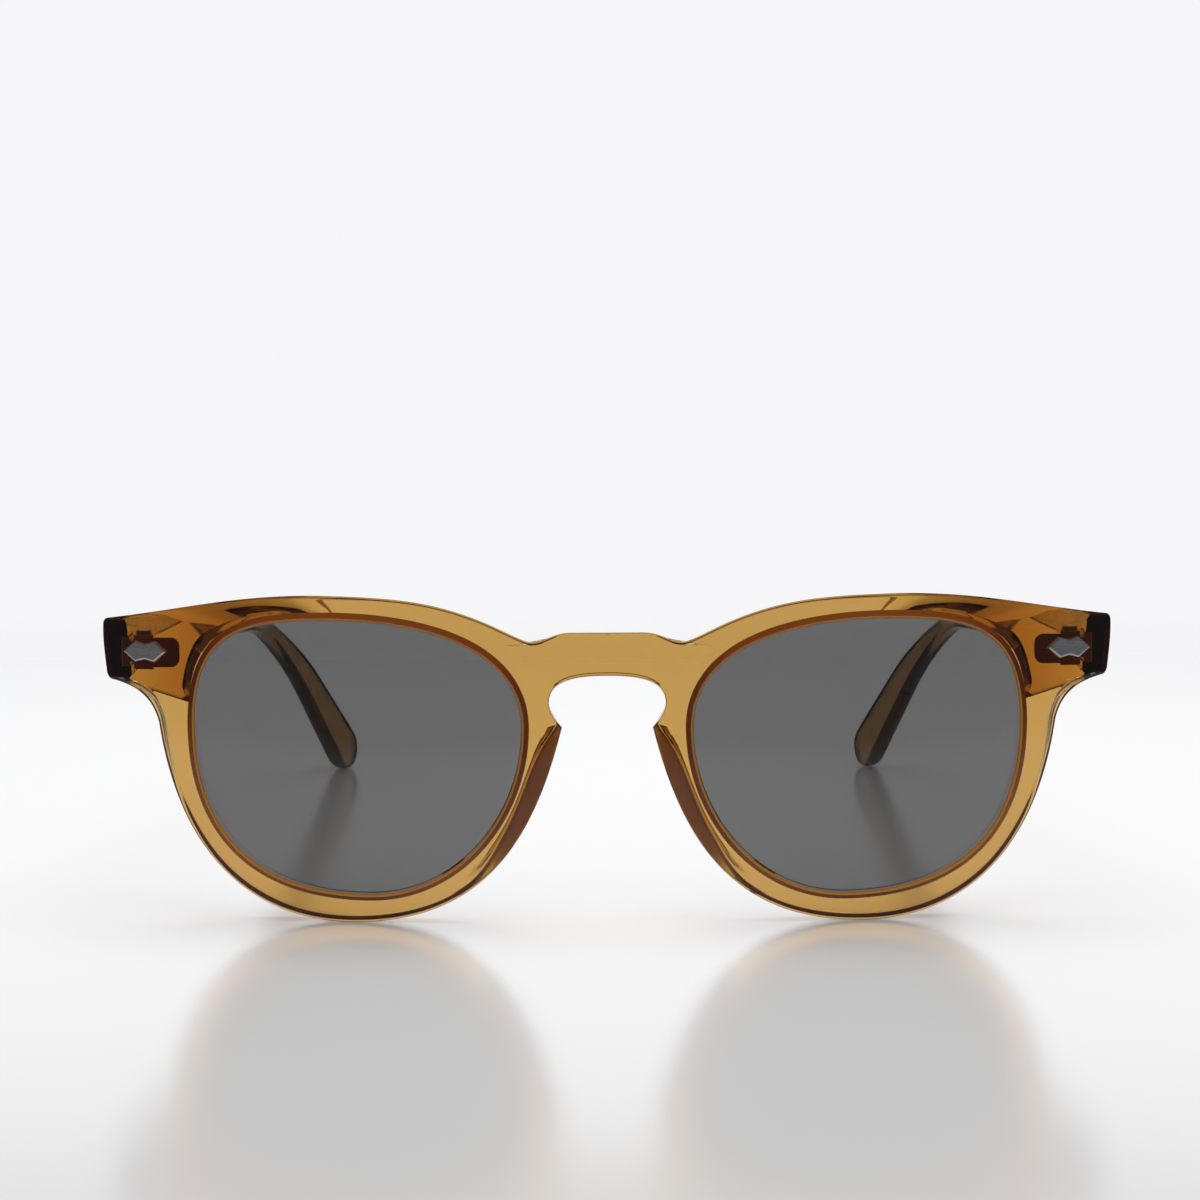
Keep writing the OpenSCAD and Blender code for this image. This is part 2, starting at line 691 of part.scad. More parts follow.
module hinge_screw(side) {
    head_gap = 0.02;
    top = barrel_z(4) + barrel_h + head_gap;
    slot_w = 0.35;
    color(silver) placed(side) translate([axis_x, axis_y, 0]) difference() {
        union() {
            translate([0, 0, barrel_z(0)]) cylinder(d = screw_dia, h = top - barrel_z(0));
            translate([0, 0, top]) cylinder(d = head_dia, h = head_h);
        }
        translate([-head_dia, -slot_w / 2, top + head_h / 2]) cube([2 * head_dia, slot_w, head_h]);
    }
}

module frame_front() {
    color(amber) translate([0, depth_shift, 0]) difference() {
        polyhedron(front_points, front_faces);
        for (side = [0, 1]) mirror([side, 0, 0]) {
            plaque_pocket();
            front_plate(seat_fit);
            web_notch();
        }
    }
}

module lens(side) {
    color(lens_grey) placed(side) polyhedron(lens_points, lens_faces);
}

module temple(side) {
    color(amber) placed(side) difference() {
        polyhedron(temple_points, temple_faces);
        temple_plate(seat_fit, 1);
    }
}

module lens_left() { lens(1); }
module lens_right() { lens(-1); }
module plaque_left() { plaque(1); }
module plaque_right() { plaque(-1); }
module front_hinge_left() { front_hinge(1); }
module front_hinge_right() { front_hinge(-1); }
module hinge_screw_left() { hinge_screw(1); }
module hinge_screw_right() { hinge_screw(-1); }
module temple_left() { temple(1); }
module temple_right() { temple(-1); }
module temple_hinge_left() { temple_hinge(1); }
module temple_hinge_right() { temple_hinge(-1); }

frame_front();
lens_left();
lens_right();
plaque_left();
plaque_right();
front_hinge_left();
front_hinge_right();
hinge_screw_left();
hinge_screw_right();
temple_left();
temple_right();
temple_hinge_left();
temple_hinge_right();
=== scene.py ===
import math

import bmesh
import bpy
import numpy as np
from mathutils import Matrix, Vector


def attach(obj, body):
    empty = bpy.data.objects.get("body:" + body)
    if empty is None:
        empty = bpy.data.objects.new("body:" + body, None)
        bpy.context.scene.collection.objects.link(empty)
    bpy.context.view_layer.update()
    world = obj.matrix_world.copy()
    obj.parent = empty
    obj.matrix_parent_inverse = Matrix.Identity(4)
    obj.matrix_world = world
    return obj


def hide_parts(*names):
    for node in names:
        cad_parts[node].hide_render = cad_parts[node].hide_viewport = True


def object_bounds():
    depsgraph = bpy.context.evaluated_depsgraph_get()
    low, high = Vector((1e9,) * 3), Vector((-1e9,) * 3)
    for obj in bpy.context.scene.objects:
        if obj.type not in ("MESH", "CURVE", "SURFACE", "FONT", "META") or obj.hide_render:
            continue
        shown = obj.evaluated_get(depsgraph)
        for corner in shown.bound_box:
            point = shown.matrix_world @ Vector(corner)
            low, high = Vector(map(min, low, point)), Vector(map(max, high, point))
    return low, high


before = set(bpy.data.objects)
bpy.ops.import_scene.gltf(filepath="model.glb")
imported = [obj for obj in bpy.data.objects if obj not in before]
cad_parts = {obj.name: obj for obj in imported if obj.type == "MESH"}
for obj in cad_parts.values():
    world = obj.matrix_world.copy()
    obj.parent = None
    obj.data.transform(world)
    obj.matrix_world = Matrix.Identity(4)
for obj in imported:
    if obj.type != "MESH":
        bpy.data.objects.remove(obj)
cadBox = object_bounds()
scene = bpy.context.scene
mm = 0.001
cutOver = 1  # mm by which a cutter reaches past the solid that it cuts
softSpots = (-1, -0.5, 0, 0.5, 1)  # a mean over these softens a ramp
shortest = 1e-9  # keeps a zero length from being divided by
print("frame loaded")


# Curves and blends, shared by all the pieces. Shapes are worked out in mm, on the wearer's left side.
def ease(t):
    c = np.clip(t, 0.0, 1.0)
    return c * c * (3 - 2 * c)


def mix(a, b, t):
    return a + (b - a) * t


def unit(v):
    return v / np.maximum(np.linalg.norm(v, axis=-1, keepdims=True), shortest)


def leftOf(v):
    return np.stack([-v[..., 1], v[..., 0]], -1)


def bezier(p, t):
    t = np.asarray(t, float)[..., None]
    return (1 - t) ** 3 * p[0] + 3 * (1 - t) ** 2 * t * p[1] + 3 * (1 - t) * t * t * p[2] + t ** 3 * p[3]


def point(*c):
    return np.array(c, float)


front = {
    "width": 142.7,
    "thickness": 3.9,
    "faceRadius": 360,  # seen from above
    "browRadius": 330,  # seen from the side
    "endSweep": 0.002,
    "sweepFrom": 45,
    "ledgeSlope": 0.35,
    "rimBottom": 3.9,  # widths of the rim
    "rimTop": 3.5,
    "rimSide": 5.3,
    "browOut": 1.5,  # the brow's highest point, past the opening's
    "lowOut": 2.5,  # the rim's lowest point, past the opening's
    "waistUp": 0.3,  # the waist, over the opening's widest level
    "refine": 5,  # stations for each one of the coarse outline
    "middleSteps": 4,  # coarse stations down the middle plane of the bridge
    "softStretch": 2,  # the stretch whose first corner is rounded off
    "softReach": 9,  # stations
    "softPasses": 14,
    "arcRoom": 0.42,  # share of the way to the next corner that an edge's arc may take
    "cornerPolish": (1, 0.3, 0.6, 0.8, 1),  # shares of the edge's round, from the face to the back
    "faceSamples": (0.15, 0.32, 0.5, 0.68, 0.85),
    "backSamples": (0.1, 0.2, 0.3, 0.4, 0.5, 0.6, 0.7, 0.78, 0.85, 0.885, 0.92, 0.955, 0.985),
    "sharp": 40,  # degrees from which an edge is shaded sharp
}
opening = {
    "width": 46.2,
    "height": 38.6,
    "gap": 23.8,
    "sideLevel": 0.61,
    "topShare": 0.588,
    "lowShare": 0.468,
    "lipWidth": 0.3,
    "lipDepth": 0.35,
    "lipRound": 0.12,
    "backLip": 0.5,
    "grooveDepth": 1.0,
    "grooveWidth": 2.1,
    "groovePlace": 0.54,  # share of the front's thickness
    "grooveRound": 0.08,
    "handles": (  # shares of the way between corners, clockwise from the top
        ((0.6, 0), (0, 0.92)),
        ((0, 0.66), (0.64, 0)),
        ((0.59, 0), (0, 0.505)),
        ((0, 0.8), (0.436, 0)),
    ),
}
bridge = {
    "top": 40.9,
    "flatWidth": 10,
    "dipWidth": 21.8,
    "dipLevel": 39.35,
    "archLevel": 34.9,
    "keyholeWidth": 16.2,
    "keyholeLevel": 31.1,
    "cuspWidth": 12.6,
    "cuspLevel": 27.75,
    "middleMargin": 0.8,
    "padHeight": 3.4,
    "padPeak": 0.1,  # share of the way from the outline to the opening
    "padSlope": 0.25,
    "padRound": 0.5,
    "padLean": 0.15,
}
endPiece = {
    "top": 42.55,
    "bottom": 33.75,
    "lean": 0.5,
    "thickness": 4.8,
    "topCorner": (0.7, 0.95),  # in from the side, down from the top
    "lowCorner": (1, 1.15),  # in from the side, up from the bottom
    "blockFrom": 41,
    "blockRun": 20,
    "blockSoft": 0.18,
    "blockFoot": 32.2,
    "blockRise": 0.2,
    "flankFrom": (0.97, 0.86),
    "flankRun": (0.03, 0.1),
    "flankWidens": (46, 54),
}

openIn = opening["gap"] / 2
openOut = openIn + opening["width"]
openLow = front["rimBottom"]
openTop = openLow + opening["height"]
halfWidth = front["width"] / 2
midLevel = openLow + opening["height"] / 2
sideLevel = openLow + opening["sideLevel"] * opening["height"]
grooveLevel = opening["groovePlace"] * front["thickness"]


def cornerCurve(a, b, alongA, alongB):
    return [a, mix(a, b, point(*alongA)), mix(b, a, point(*alongB)), b]


lensTop = point(openIn + opening["topShare"] * opening["width"], openTop)
lensOut = point(openOut, sideLevel)
lensLow = point(openIn + opening["lowShare"] * opening["width"], openLow)
lensIn = point(openIn, sideLevel)
lensCorners = (lensTop, lensOut, lensLow, lensIn, lensTop)
openingCurves = np.array([
    cornerCurve(a, b, *handles) for a, b, handles in zip(lensCorners, lensCorners[1:], opening["handles"])
])


# A turn runs from 0 at the top of the opening, clockwise, to 4
def openingAt(turn):
    u = np.asarray(turn) % 4
    k = np.floor(u).astype(int)
    return bezier(np.moveaxis(openingCurves[k], 1, 0), u - k)


def openingNormal(turn):
    u = np.asarray(turn) % 4
    k = np.floor(u).astype(int)
    p = np.moveaxis(openingCurves[k], 1, 0)
    t = (u - k)[..., None]
    d = (1 - t) ** 2 * (p[1] - p[0]) + 2 * (1 - t) * t * (p[2] - p[1]) + t * t * (p[3] - p[2])
    return leftOf(unit(d))


def faceDepth(x, z):
    bow = x * x / (2 * front["faceRadius"]) + (z - midLevel) ** 2 / (2 * front["browRadius"])
    return bow + front["endSweep"] * np.maximum(0, np.abs(x) - front["sweepFrom"]) ** 2


def onFace(p, depth):
    return np.stack([p[..., 0], faceDepth(p[..., 0], p[..., 1]) + depth, p[..., 1]], -1)


# The corners of the front's outline, from the middle of the bridge round the rim to the keyhole's arch
bridgeMid = point(0, bridge["top"])
bridgeEnd = point(bridge["flatWidth"] / 2, bridge["top"])
dip = point(bridge["dipWidth"] / 2, bridge["dipLevel"])
brow = point(lensTop[0] + front["browOut"], openTop + front["rimTop"])
topIn, topDown = endPiece["topCorner"]
lowIn, lowUp = endPiece["lowCorner"]
endA = point(halfWidth - topIn, endPiece["top"])
endB = point(halfWidth, endPiece["top"] - topDown)
endC = point(halfWidth - endPiece["lean"], endPiece["bottom"] + lowUp)
endD = point(halfWidth - endPiece["lean"] - lowIn, endPiece["bottom"])
waist = point(openOut + front["rimSide"], sideLevel + front["waistUp"])
rimLow = point(lensLow[0] + front["lowOut"], 0)
cusp = point(bridge["cuspWidth"] / 2, bridge["cuspLevel"])
keyholeSide = point(bridge["keyholeWidth"] / 2, bridge["keyholeLevel"])
arch = point(0, bridge["archLevel"])


def stretch(a, leaving, arriving, b, steps, turnA, turnB):
    return [a, a + point(*leaving), b + point(*arriving), b], steps, turnA, turnB


# From a corner to the next: handle at its start and at its end, coarse stations, and the turns of the
# opening that the two ends belong to
third = bridge["flatWidth"] / 6
outline = [
    stretch(bridgeMid, (third, 0), (-third, 0), bridgeEnd, 2, 3.33, 3.37),
    stretch(bridgeEnd, (2.7, 0), (-1.9, 0), dip, 4, 3.37, 3.43),
    stretch(dip, (11.2, 6.1), (-12.1, -0.3), brow, 10, 3.43, 4),
    stretch(brow, (11.6, 0), (-11.6, 1.5), endA, 10, 4, 4.6),
    stretch(endA, (0.45, -0.05), (0, 0.5), endB, 3, 4.6, 4.66),
    stretch(endB, (0.1, -2.2), (0.25, 2.2), endC, 4, 4.66, 4.84),
    stretch(endC, (-0.08, -0.6), (0.5, 0.15), endD, 3, 4.84, 4.88),
    stretch(endD, (-4.2, -1.1), (0.75, 2.75), waist, 7, 4.88, 5),
    stretch(waist, (-2.2, -14.5), (17.3, 0), rimLow, 14, 5, 5.95),
    stretch(rimLow, (-18.2, 0), (4.1, -16.5), cusp, 17, 5.95, 6.97),
    stretch(cusp, (0.55, 0.55), (0, -1.3), keyholeSide, 3, 6.97, 7.06),
    stretch(keyholeSide, (0, 3.5), (3.5, 0), arch, 6, 7.06, 7.22),
]
middleSteps = front["middleSteps"] * front["refine"]


def frontStations():
    edge, turns, place, share = [], [], [], []
    for k, (curve, steps, turnA, turnB) in enumerate(outline):
        t = np.arange(steps * front["refine"]) / (steps * front["refine"])
        edge.append(bezier(curve, t))
        turns.append(mix(turnA, turnB, t))
        place.append(np.full(len(t), k))
        share.append(t)
    edge = np.concatenate(edge + [arch[None]])
    reach = front["refine"]
    a = sum(steps for _, steps, _, _ in outline[:front["softStretch"]]) * reach - front["softReach"]
    b = a + 2 * front["softReach"]
    for _ in range(front["softPasses"]):
        edge[a:b] = (edge[a - 1:b - 1] + 2 * edge[a:b] + edge[a + 1:b + 1]) / 4
    nOuter = len(edge) - 1
    flip = point(-1, 1)
    longer = np.concatenate([edge[reach:0:-1] * flip, edge, edge[-2:-2 - reach:-1] * flip])
    normal = leftOf(unit(longer[2 * reach:] - longer[:-2 * reach]))
    t = np.arange(1, middleSteps) / middleSteps
    low, high = bridge["archLevel"] + bridge["middleMargin"], bridge["top"] - bridge["middleMargin"]
    archTurn, bridgeTurn = outline[-1][3], outline[0][2] + 4
    middle = np.stack([0 * t, mix(low, high, t)], -1)
    return {
        "edge": np.concatenate([edge, middle]),
        "normal": np.concatenate([normal, 0 * middle]),
        "turn": np.concatenate(turns + [[archTurn], mix(archTurn, bridgeTurn, t)]),
        "place": np.concatenate(place + [np.full(len(t) + 1, len(outline))]),
        "share": np.concatenate(share + [[0], t]),
        "nOuter": nOuter,
    }


stations = frontStations()


# What changes along the outline: a place on it, as stretch and share, and the value there
profileKeys = {
    "edgeRound": [(10.5, 0.22), (11, 0.1)],
    "chamferWidth": [(6.6, 0.12), (7.3, 0.4), (8, 0.5), (8.3, 0.28), (9.3, 0.28), (9.7, 0.15), (10.4, 0.12)],
    "chamferDepth": [(6.6, 0.12), (7.3, 0.7), (8, 0.8), (8.3, 0.28), (9.3, 0.28), (9.7, 0.2), (10.4, 0.12)],
    "ledgeWidth": [(0, 0.05), (6.8, 0.06), (7.6, 1.1), (8, 0.8), (8.3, 0.2), (8.5, 0.05), (10.2, 0.05)],
    "draft": [(6, 0.45), (7, 0.2), (8, 0.3), (8.3, 0.42), (8.7, 0.35), (9, 0.28), (9.3, 0.28),
              (9.39, 0.4), (9.48, 0.8), (9.58, 1.4), (9.77, 1.95), (9.85, 2), (9.92, 1.6), (9.965, 1),
              (10, 0.3), (10.5, 0.1)],
    "backBevel": [(0, 0.12), (1, 0.12), (2, 0.3), (10, 0.3), (10.4, 0.12), (11, 0.06)],
    "padShare": [(9.4, 0), (9.47, 0.2), (9.59, 0.8), (9.66, 1), (9.9, 1), (9.97, 0.5), (10.02, 0)],
    "facetMattShade": [(9.42, 0), (9.55, 0.85), (9.98, 0.85), (10.05, 0)],  # matt along the nose, and tinted darker there as painted shade
    "blur": 0.03,
}


def along(place, name):
    places, values = zip(*profileKeys[name])
    spots = [place + profileKeys["blur"] * d for d in softSpots]
    return np.mean([np.interp(spot, places, values) for spot in spots], 0)


def frontProfile(s):
    o, no = s["edge"], s["normal"]
    q, nq = openingAt(s["turn"]), openingNormal(s["turn"])
    outer = np.arange(len(o)) <= s["nOuter"]
    place = s["place"] + np.where(outer, s["share"], 0)
    pad = along(place, "padShare")
    climb = (o[:, 0] - endPiece["blockFrom"]) / endPiece["blockRun"]
    block = np.mean([np.clip(climb + d * endPiece["blockSoft"], 0, 1) for d in softSpots], 0)
    block = block * ease((o[:, 1] - endPiece["blockFoot"]) / endPiece["blockRise"])
    seat = faceDepth(halfWidth, hinge["level"]) + endPiece["thickness"]
    widensFrom, widensTo = endPiece["flankWidens"]
    widening = ease((o[:, 0] - widensFrom) / (widensTo - widensFrom))
    flankFrom = mix(*endPiece["flankFrom"], widening)
    flankRun = mix(*endPiece["flankRun"], widening)
    chamfer = along(place, "chamferWidth")[:, None]
    ledge = along(place, "ledgeWidth")[:, None]
    chamferDepth = along(place, "chamferDepth")
    flare = along(place, "draft")[:, None]
    bevel = along(place, "backBevel")
    faceIn = q + nq * opening["lipWidth"]
    faceOut = o - no * (chamfer + ledge)
    wallEnd = o - no * ledge
    backIn = q + nq * opening["backLip"]
    sideBack = o - no * flare
    backOut = o - no * (flare + bevel[:, None])
    thick = front["thickness"]
    halfGroove = opening["grooveWidth"] / 2

    def back(u):
        p = mix(backOut, backIn, u)
        padRise = bridge["padHeight"] * pad * (1 - bridge["padLean"] * u)
        padRise = padRise * (1 - ease((u - bridge["padPeak"]) / bridge["padSlope"]))
        share = block * (1 - ease((u - flankFrom) / flankRun))
        return np.stack([p[:, 0], mix(faceDepth(*p.T) + thick + padRise, seat, share), p[:, 1]], -1)

    outPoint = back(0)
    sidePoint = np.stack([sideBack[:, 0], outPoint[:, 1] - bevel, sideBack[:, 1]], -1)
    polish = np.where(outer, along(place, "edgeRound"), 0)
    soft = mix(polish, bridge["padRound"], pad)
    lip, groove, shares = opening["lipRound"], opening["grooveRound"], front["cornerPolish"]
    corners = [
        (onFace(q, grooveLevel - halfGroove), groove),
        (onFace(q, opening["lipDepth"]), lip),
        (onFace(faceIn, 0), lip),
    ]
    corners += [(onFace(mix(faceIn, faceOut, t), 0), None) for t in front["faceSamples"]]
    firstCut = len(corners)
    corners += [
        (onFace(faceOut, 0), polish * shares[0]),
        (onFace(wallEnd, chamferDepth), polish * shares[1]),
        (onFace(o, chamferDepth + front["ledgeSlope"] * ledge[:, 0]), polish * shares[2]),
        (sidePoint, soft * shares[3]),
        (outPoint, soft * shares[4]),
    ]
    lastCut = len(corners) - 1
    corners += [(back(u), None) for u in front["backSamples"]]
    corners += [
        (back(1), lip),
        (onFace(q, thick - opening["backLip"]), lip),
        (onFace(q, grooveLevel + halfGroove), groove),
        (onFace(q + nq * opening["grooveDepth"], grooveLevel), None),
    ]
    return corners, firstCut, lastCut, along(place, "facetMattShade")


# Every corner of a profile becomes a short arc, so that its edge catches the light
def roundRing(corners, steps=5):
    points = np.stack([c[0] for c in corners], 1)
    before, after = np.roll(points, 1, 1) - points, np.roll(points, -1, 1) - points
    room = front["arcRoom"] * np.minimum(np.linalg.norm(before, axis=2), np.linalg.norm(after, axis=2))
    before, after = unit(before), unit(after)
    ring, firsts = [], []
    for k, (corner, size) in enumerate(corners):
        firsts.append(len(ring))
        if size is None:
            ring.append(corner)
            continue
        cut = np.minimum(size, room[:, k])[:, None]
        a, b = corner + before[:, k] * cut, corner + after[:, k] * cut
        for t in np.linspace(0, 1, steps):
            ring.append((1 - t) ** 2 * a + 2 * t * (1 - t) * corner + t * t * b)
    return np.stack(ring, 1), firsts + [len(ring)]


weldDistance = 2e-7  # metres
shortestEdge = 1e-7  # metres


def meshObject(name, points, faces, mattAndShade=None):
    mesh = bpy.data.meshes.new(name)
    mesh.from_pydata([tuple(p) for p in np.asarray(points) * mm], [], faces)
    # The mark is 1 where the plastic is matt and tinted darker as painted shade
    if mattAndShade is not None:
        mark = mesh.attributes.new("mattAndShade", "FLOAT", "POINT")
        mark.data.foreach_set("value", np.asarray(mattAndShade, np.float32))
    work = bmesh.new()
    work.from_mesh(mesh)
    bmesh.ops.remove_doubles(work, verts=work.verts, dist=weldDistance)
    bmesh.ops.dissolve_degenerate(work, dist=shortestEdge, edges=work.edges)
    bmesh.ops.recalc_face_normals(work, faces=work.faces)
    work.to_mesh(mesh)
    work.free()
    piece = bpy.data.objects.new(name, mesh)
    scene.collection.objects.link(piece)
    return piece


# The shading of a flat face stays flat up to its rounded edges
def smooth(piece, sharp):
    piece.data.shade_smooth()
    piece.data.set_sharp_from_angle(angle=math.radians(sharp))
    weighted = piece.modifiers.new("flatFaces", "WEIGHTED_NORMAL")
    weighted.keep_sharp = True


def settle(piece):
    graph = bpy.context.evaluated_depsgraph_get()
    mesh = bpy.data.meshes.new_from_object(piece.evaluated_get(graph))
    piece.modifiers.clear()
    piece.data = mesh


def carve(piece, cutters):
    for cutter in cutters:
        cut = piece.modifiers.new("pocket", "BOOLEAN")
        cut.operation = "DIFFERENCE"
        cut.object = cutter
        cut.solver = "EXACT"
    settle(piece)
    for cutter in cutters:
        bpy.data.objects.remove(cutter)


def mirrored(points):
    return points * point(-1, 1, 1)


# Quads between neighbouring rings of m points
def tubeFaces(rings, m):
    return [[k * m + j, k * m + (j + 1) % m, (k + 1) * m + (j + 1) % m, (k + 1) * m + j]
            for k in range(rings - 1) for j in range(m)]


hinge = {
    "barrels": 5,
    "barrelDiameter": 2.8,
    "barrelHeight": 0.9,
    "barrelGap": 0.06,
    "barrelClear": 0.9,
    "barrelStand": 0.35,
    "level": 37.3,
    "plateHeight": 4.1,
    "plateThickness": 1.1,
    "plateLength": 6.6,
    "plateCorner": 1.2,
    "plateStart": 0.3,  # from the temple's end
    "screwDiameter": 1.4,
    "headDiameter": 2.3,
    "headHeight": 0.55,
    "fit": 0.05,
    "bevel": 0.09,
    "bevelKnee": 0.3,  # share of the bevel at the middle of a barrel's round edge
    "webBevel": 0.04,
    "webOverlap": 0.1,  # into the barrel
    "cornerSteps": 13,
    "sharp": 32,
}
temple = {
    "thickness": 3.4,
    "inset": 0.15,
    "buttGap": 0.05,
    "straight": 93.6,
    "spineLevel": 39.4,
    "slope": 4.2,
    "hingeYaw": 4.3,
    "yaw": 3.25,
    "yawFrom": 7,
    "yawRun": 12,
    "bendRadius": 43.6,
    "tipSlope": 48.5,
    "tipYaw": 25.2,
    "lean": 6,
    "leanRun": 60,
    "taper": 45,  # from the hinge to the slim part
    "paddle": 68,  # from the bend to the tip's full height
    "over": (2.8, 2.6, 1.5, 4.9),  # height over the spine: hinge, slim part, bend, paddle
    "under": (6.2, 2.1, 1.5, 3.7),
    "edge": 1.2,
    "edgeLimit": 0.95,  # share of the half width or height that the edge's round may take
    "tipRound": 5,
    "tipThin": 0.7,  # share of the thickness left where the tip ends
    "tipBlunt": 4,  # how late the sides close at the tip
    "tipLeast": 0.0004,
    "trialTip": 23,
    "tipTrim": 0.04,
    "steps": 150,
    "tipSteps": 15,
    "cornerSteps": 7,
    "sharp": 40,
}
seatDepth = faceDepth(halfWidth, hinge["level"]) + endPiece["thickness"]
templeX = halfWidth - temple["inset"] - temple["thickness"] / 2
axisX = templeX - temple["thickness"] / 2 - hinge["barrelClear"] - hinge["barrelDiameter"] / 2
axisY = seatDepth + hinge["barrelStand"] + hinge["barrelDiameter"] / 2
buttDepth = seatDepth + temple["buttGap"]


# The temple: sections along a spine that runs straight, bends over the ear and ends in a paddle
bendLength = temple["bendRadius"] * math.radians(temple["tipSlope"] - temple["slope"])


def spineSlope(s):
    t = np.clip((s - temple["straight"]) / bendLength, 0, 1)
    return np.radians(mix(temple["slope"], temple["tipSlope"], t))


def spineYaw(s):
    fore = mix(temple["hingeYaw"], temple["yaw"], ease((s - temple["yawFrom"]) / temple["yawRun"]))
    return np.radians(mix(fore, temple["tipYaw"], ease((s - temple["straight"]) / bendLength)))


def spineDirection(s):
    a, h = spineSlope(s), spineYaw(s)
    return np.stack([-np.sin(h) * np.cos(a), np.cos(h) * np.cos(a), -np.sin(a)], -1)


def spineHeight(s, heights):
    taper, straight = temple["taper"], temple["straight"]
    fore = mix(heights[0], heights[1], ease(s / taper))
    middle = mix(heights[1], heights[2], ease((s - taper) / (straight - taper)))
    rear = mix(heights[2], heights[3], ease((s - straight) / temple["paddle"]))
    return np.where(s < taper, fore, np.where(s < straight, middle, rear))


def templeSections(tipLength):
    total = temple["straight"] + bendLength + tipLength
    body = np.linspace(0, total - temple["tipRound"], temple["steps"])
    tip = total - temple["tipRound"] * (1 - np.sin(np.linspace(0, math.pi / 2, temple["tipSteps"])[1:]))
    s = np.concatenate([body, tip])
    middles, lengths = (s[1:] + s[:-1]) / 2, np.diff(s)
    strides = spineDirection(middles) * lengths[:, None]
    start = point(templeX, buttDepth, temple["spineLevel"])
    spine = start + np.concatenate([np.zeros((1, 3)), np.cumsum(strides, 0)])
    d, h = spineDirection(s), spineYaw(s)
    across = np.stack([np.cos(h), np.sin(h), 0 * h], -1)
    upward = np.cross(across, d)
    lean = np.radians(temple["lean"]) * (1 - ease(s / temple["leanRun"]))[:, None]
    side = across * np.cos(lean) - upward * np.sin(lean)
    height = upward * np.cos(lean) + across * np.sin(lean)
    into = np.maximum(0, (s - (total - temple["tipRound"])) / temple["tipRound"])
    f = np.sqrt(np.maximum(temple["tipLeast"], 1 - into * into))
    w = temple["thickness"] / 2 * mix(temple["tipThin"], 1, f) * np.minimum(1, f * temple["tipBlunt"])
    up, down = spineHeight(s, temple["over"]) * f, spineHeight(s, temple["under"]) * f
    r = np.minimum(temple["edge"], np.minimum(w, up) * temple["edgeLimit"])
    ring = []
    for cx, top, first in ((1, 1, 0), (-1, 1, 90), (-1, -1, 180), (1, -1, 270)):
        for a in np.radians(first + np.linspace(0, 90, temple["cornerSteps"])):
            x = cx * (w - r) + r * math.cos(a)
            y = (up - r if top > 0 else r - down) + r * math.sin(a)
            ring.append(spine + side * x[:, None] + height * y[:, None])
    grid = np.stack(ring, 1)
    first = spineDirection(np.zeros(1))[0]
    grid[0] += first * ((buttDepth - grid[0][:, 1]) / first[1])[:, None]
    return grid


# The tip is as long as it takes to reach the table
trialLow = templeSections(temple["trialTip"])[..., 2].min()
tipLength = temple["trialTip"] + trialLow / math.sin(math.radians(temple["tipSlope"])) - temple["tipTrim"]
templeGrid = templeSections(tipLength)


def buildFrontGrid():
    corners, firstCut, lastCut, facetMattShade = frontProfile(stations)
    grid, starts = roundRing(corners)
    low, high = starts[firstCut], starts[lastCut + 1] - 1
    for middle in (0, stations["nOuter"]):
        grid[middle, low:high + 1, 0] = 0
    mattAndShade = np.zeros(grid.shape[:2])  # 1 where the plastic is cut and left matt, and tinted darker there as painted shade
    mattAndShade[:, starts[-3]:] = 1  # lens groove
    mattAndShade[:, :starts[2] + 2] = 1  # lip round the lens
    mattAndShade[:, starts[lastCut - 2]:starts[lastCut]] = facetMattShade[:, None]  # side wall along the nose, matt with painted shade
    return grid, low, high, mattAndShade


frontGrid, cutFrom, cutTo, mattAndShadeMarks = buildFrontGrid()
shift = point(0, cadBox[0].y / mm - frontGrid[..., 1].min(), 0)  # into the frame's depth


# One half and its mirror image, which share the points in the middle
def makeFront():
    n, m = frontGrid.shape[:2]
    half = (frontGrid + shift).reshape(-1, 3)
    inMiddle = np.isclose(half[:, 0], 0, atol=1e-6)
    twin = np.where(inMiddle, np.arange(n * m), np.arange(n * m) + n * m)
    faces = []
    for i in range(n):
        for j in range(m):
            if i >= stations["nOuter"] and cutFrom <= j < cutTo:
                continue  # inside the middle plane of the bridge
            ring = [i * m + j, (i + 1) % n * m + j, (i + 1) % n * m + (j + 1) % m, i * m + (j + 1) % m]
            faces.append(ring)
            faces.append([int(twin[k]) for k in reversed(ring)])
    mattAndShade = np.tile(mattAndShadeMarks.ravel(), 2)
    return meshObject("frontMoulding", np.concatenate([half, mirrored(half)]), faces, mattAndShade)


frontPiece = makeFront()
print("front built", len(frontPiece.data.vertices))


lens = {
    "thickness": 1.7,
    "bulge": 0.6,
    "fit": 0.12,
    "apexFit": 0.18,
    "stations": 240,
    "shares": (1, 0.985, 0.94, 0.86, 0.74, 0.6, 0.45, 0.3, 0.15),
    "sharp": 30,
}


def makeLens(name, side):
    turn = np.arange(lens["stations"]) * 4 / lens["stations"]
    edge = openingAt(turn) - openingNormal(turn) * lens["fit"]
    centre = point((openIn + openOut) / 2, midLevel)

    def ring(share, face):
        bulge = lens["bulge"] * (1 - share * share)
        return onFace(mix(centre, edge, share), grooveLevel + face * lens["thickness"] / 2 - bulge)

    apex = openingAt(turn) + openingNormal(turn) * (opening["grooveDepth"] - lens["apexFit"])
    rings = [ring(share, -1) for share in reversed(lens["shares"])]
    rings.append(onFace(apex, grooveLevel))
    rings += [ring(share, 1) for share in lens["shares"]]
    n, last = lens["stations"], len(rings) - 1
    middles = [onFace(centre, grooveLevel + f * lens["thickness"] / 2 - lens["bulge"]) for f in (-1, 1)]
    points = np.concatenate(rings + [np.array(middles)]) + shift
    faces = tubeFaces(len(rings), n)
    faces += [[(last + 1) * n, i, (i + 1) % n] for i in range(n)]
    faces += [[(last + 1) * n + 1, last * n + (i + 1) % n, last * n + i] for i in range(n)]
    piece = meshObject(name, points if side > 0 else mirrored(points), faces)
    smooth(piece, lens["sharp"])
    return piece


